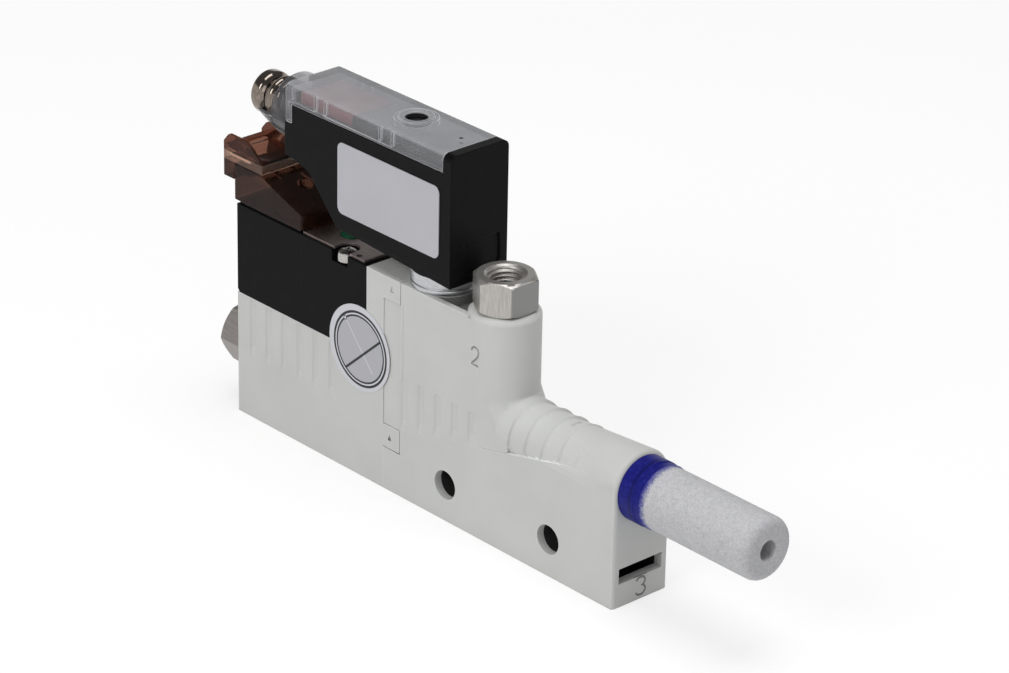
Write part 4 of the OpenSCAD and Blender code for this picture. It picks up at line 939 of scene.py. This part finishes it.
# the CAD nodes that keep their own shape
for material, names in (
        (nitrile, ("vacuum_port_seal", "supply_port_seal", "nozzle_seals", "valve_gasket", "plug_gasket",
                   "switch_seal")),
        (brass, ("jet_nozzle", "receiver_nozzle")), (glassNylon, ("coil_bobbin",)),
        (copperWire, ("coil_winding",)), (ironCore, ("fixed_core", "plunger", "pressure_sensor")),
        (gold, ("plug_contacts", "m8_pins")), (boardLaminate, ("circuit_board",)),
        (darkRed, ("display_window",)), (lensGreen, ("status_light",)),
        (insertBlack, ("m8_insert", "teach_switch")), (labelFilm, ("switch_label",))):
    for name in names:
        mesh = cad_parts[name].data
        mesh.materials.clear()
        mesh.materials.append(material)
print("CAD nodes finished")

# the camera, in degrees, metres and mm of lens, and the stage
view = {"azimuth": 47.45, "elevation": 25.33, "roll": 1.13, "lens": 156.99,
        "place": (0.504174, -0.449498, 0.350179)}
stage = {
    "floor": "#F2F2F2", "floorGlow": 1.12, "glowShare": 0.6, "drop": 0.00004,
    "wall": (0.26, 0.4), "room": 0.16,  # where the white wall fades out, and how light the room over it is
    "worldLight": 0.33,
    "lamps": (  # name, place, aim, width and height, power
        ("keyLight", (0.06, -0.8, 0.6), (0, 0, 0.03), (0.5, 0.4), 3.2),
        ("topLight", (0.1, 0.0, 0.9), (0, 0, 0.03), (0.6, 0.5), 3.8),
        ("sideLight", (0.75, -0.4, 0.3), (0.03, 0, 0.03), (0.35, 0.35), 0.35)),
}


def placeCamera():
    azimuth, elevation, roll = (math.radians(view[key]) for key in ("azimuth", "elevation", "roll"))
    back = Vector((math.sin(azimuth) * math.cos(elevation), -math.cos(azimuth) * math.cos(elevation),
                   math.sin(elevation)))
    level = Vector((math.cos(azimuth), math.sin(azimuth), 0))
    right = level * math.cos(roll) + back.cross(level) * math.sin(roll)
    camera = bpy.data.cameras.new("camera")
    camera.lens, camera.sensor_width = view["lens"], 36
    camera.clip_start, camera.clip_end = 0.01, 20
    holder = newObject("camera", camera)
    turn = Matrix((right, back.cross(right), back)).transposed().to_4x4()
    holder.matrix_world = Matrix.Translation(Vector(view["place"])) @ turn
    scene.camera = holder


def addLamp(name, place, aim, size, power):
    lamp = bpy.data.lights.new(name, "AREA")
    lamp.shape, lamp.size, lamp.size_y = "RECTANGLE", size[0], size[1]
    lamp.energy = power
    holder = newObject(name, lamp)
    turn = (Vector(place) - Vector(aim)).to_track_quat("Z", "Y").to_matrix().to_4x4()
    holder.matrix_world = Matrix.Translation(Vector(place)) @ turn


def seenByCamera(tree):
    # 1 where the camera looks straight at it, in a mirror or through glass
    rays = addNode(tree, "LightPath").outputs
    straight = {0: rays["Is Camera Ray"], 1: rays["Is Transmission Ray"]}
    most = addNode(tree, "Math", straight, operation="MAXIMUM")
    return addNode(tree, "Math", {0: most, 1: rays["Is Glossy Ray"]}, operation="MAXIMUM")


def paintStage():
    # a white sweep that keeps the object's shadow
    material = bpy.data.materials.new("PaintedSweepWhite")
    material.use_nodes = True
    tree = material.node_tree
    tree.nodes.clear()
    matt = addNode(tree, "BsdfDiffuse", {"Color": stage["floor"]})
    glow = addNode(tree, "Emission", {"Color": "#FFFFFF", "Strength": stage["floorGlow"]})
    half = addNode(tree, "MixShader", {"Fac": stage["glowShare"], 1: matt, 2: glow})
    pick = addNode(tree, "MixShader", {0: seenByCamera(tree), 1: matt, 2: half})
    addNode(tree, "OutputMaterial", {"Surface": pick})
    work = bmesh.new()
    bmesh.ops.create_grid(work, x_segments=1, y_segments=1, size=3)
    mesh = bpy.data.meshes.new("floor")
    work.to_mesh(mesh)
    work.free()
    floor = newObject("floor", mesh)
    floor.location.z = -stage["drop"]
    mesh.materials.append(material)


def lightWorld():
    # a white wall that ends a little above the object, with a dim room over it
    world = bpy.data.worlds.new("studio")
    scene.world = world
    world.use_nodes = True
    tree = world.node_tree
    tree.nodes.clear()
    direction = addNode(tree, "TexCoord").outputs["Generated"]
    upward = addNode(tree, "SeparateXYZ", {0: direction}).outputs[2]
    low, high = stage["wall"]
    fade = addNode(tree, "MapRange", {
        "Value": upward, "From Min": low, "From Max": high, "To Min": 1.0, "To Max": stage["room"]})
    soft = addNode(tree, "Background", {"Color": "#FFFFFF", "Strength": stage["worldLight"]})
    white = addNode(tree, "Background", {"Color": "#FFFFFF", "Strength": fade})
    pick = addNode(tree, "MixShader", {0: seenByCamera(tree), 1: soft, 2: white})
    addNode(tree, "OutputWorld", {"Surface": pick})


placeCamera()
paintStage()
lightWorld()
for lampSettings in stage["lamps"]:
    addLamp(*lampSettings)
scene.view_settings.view_transform = "Standard"
print("stage built")

bpy.context.view_layer.update()
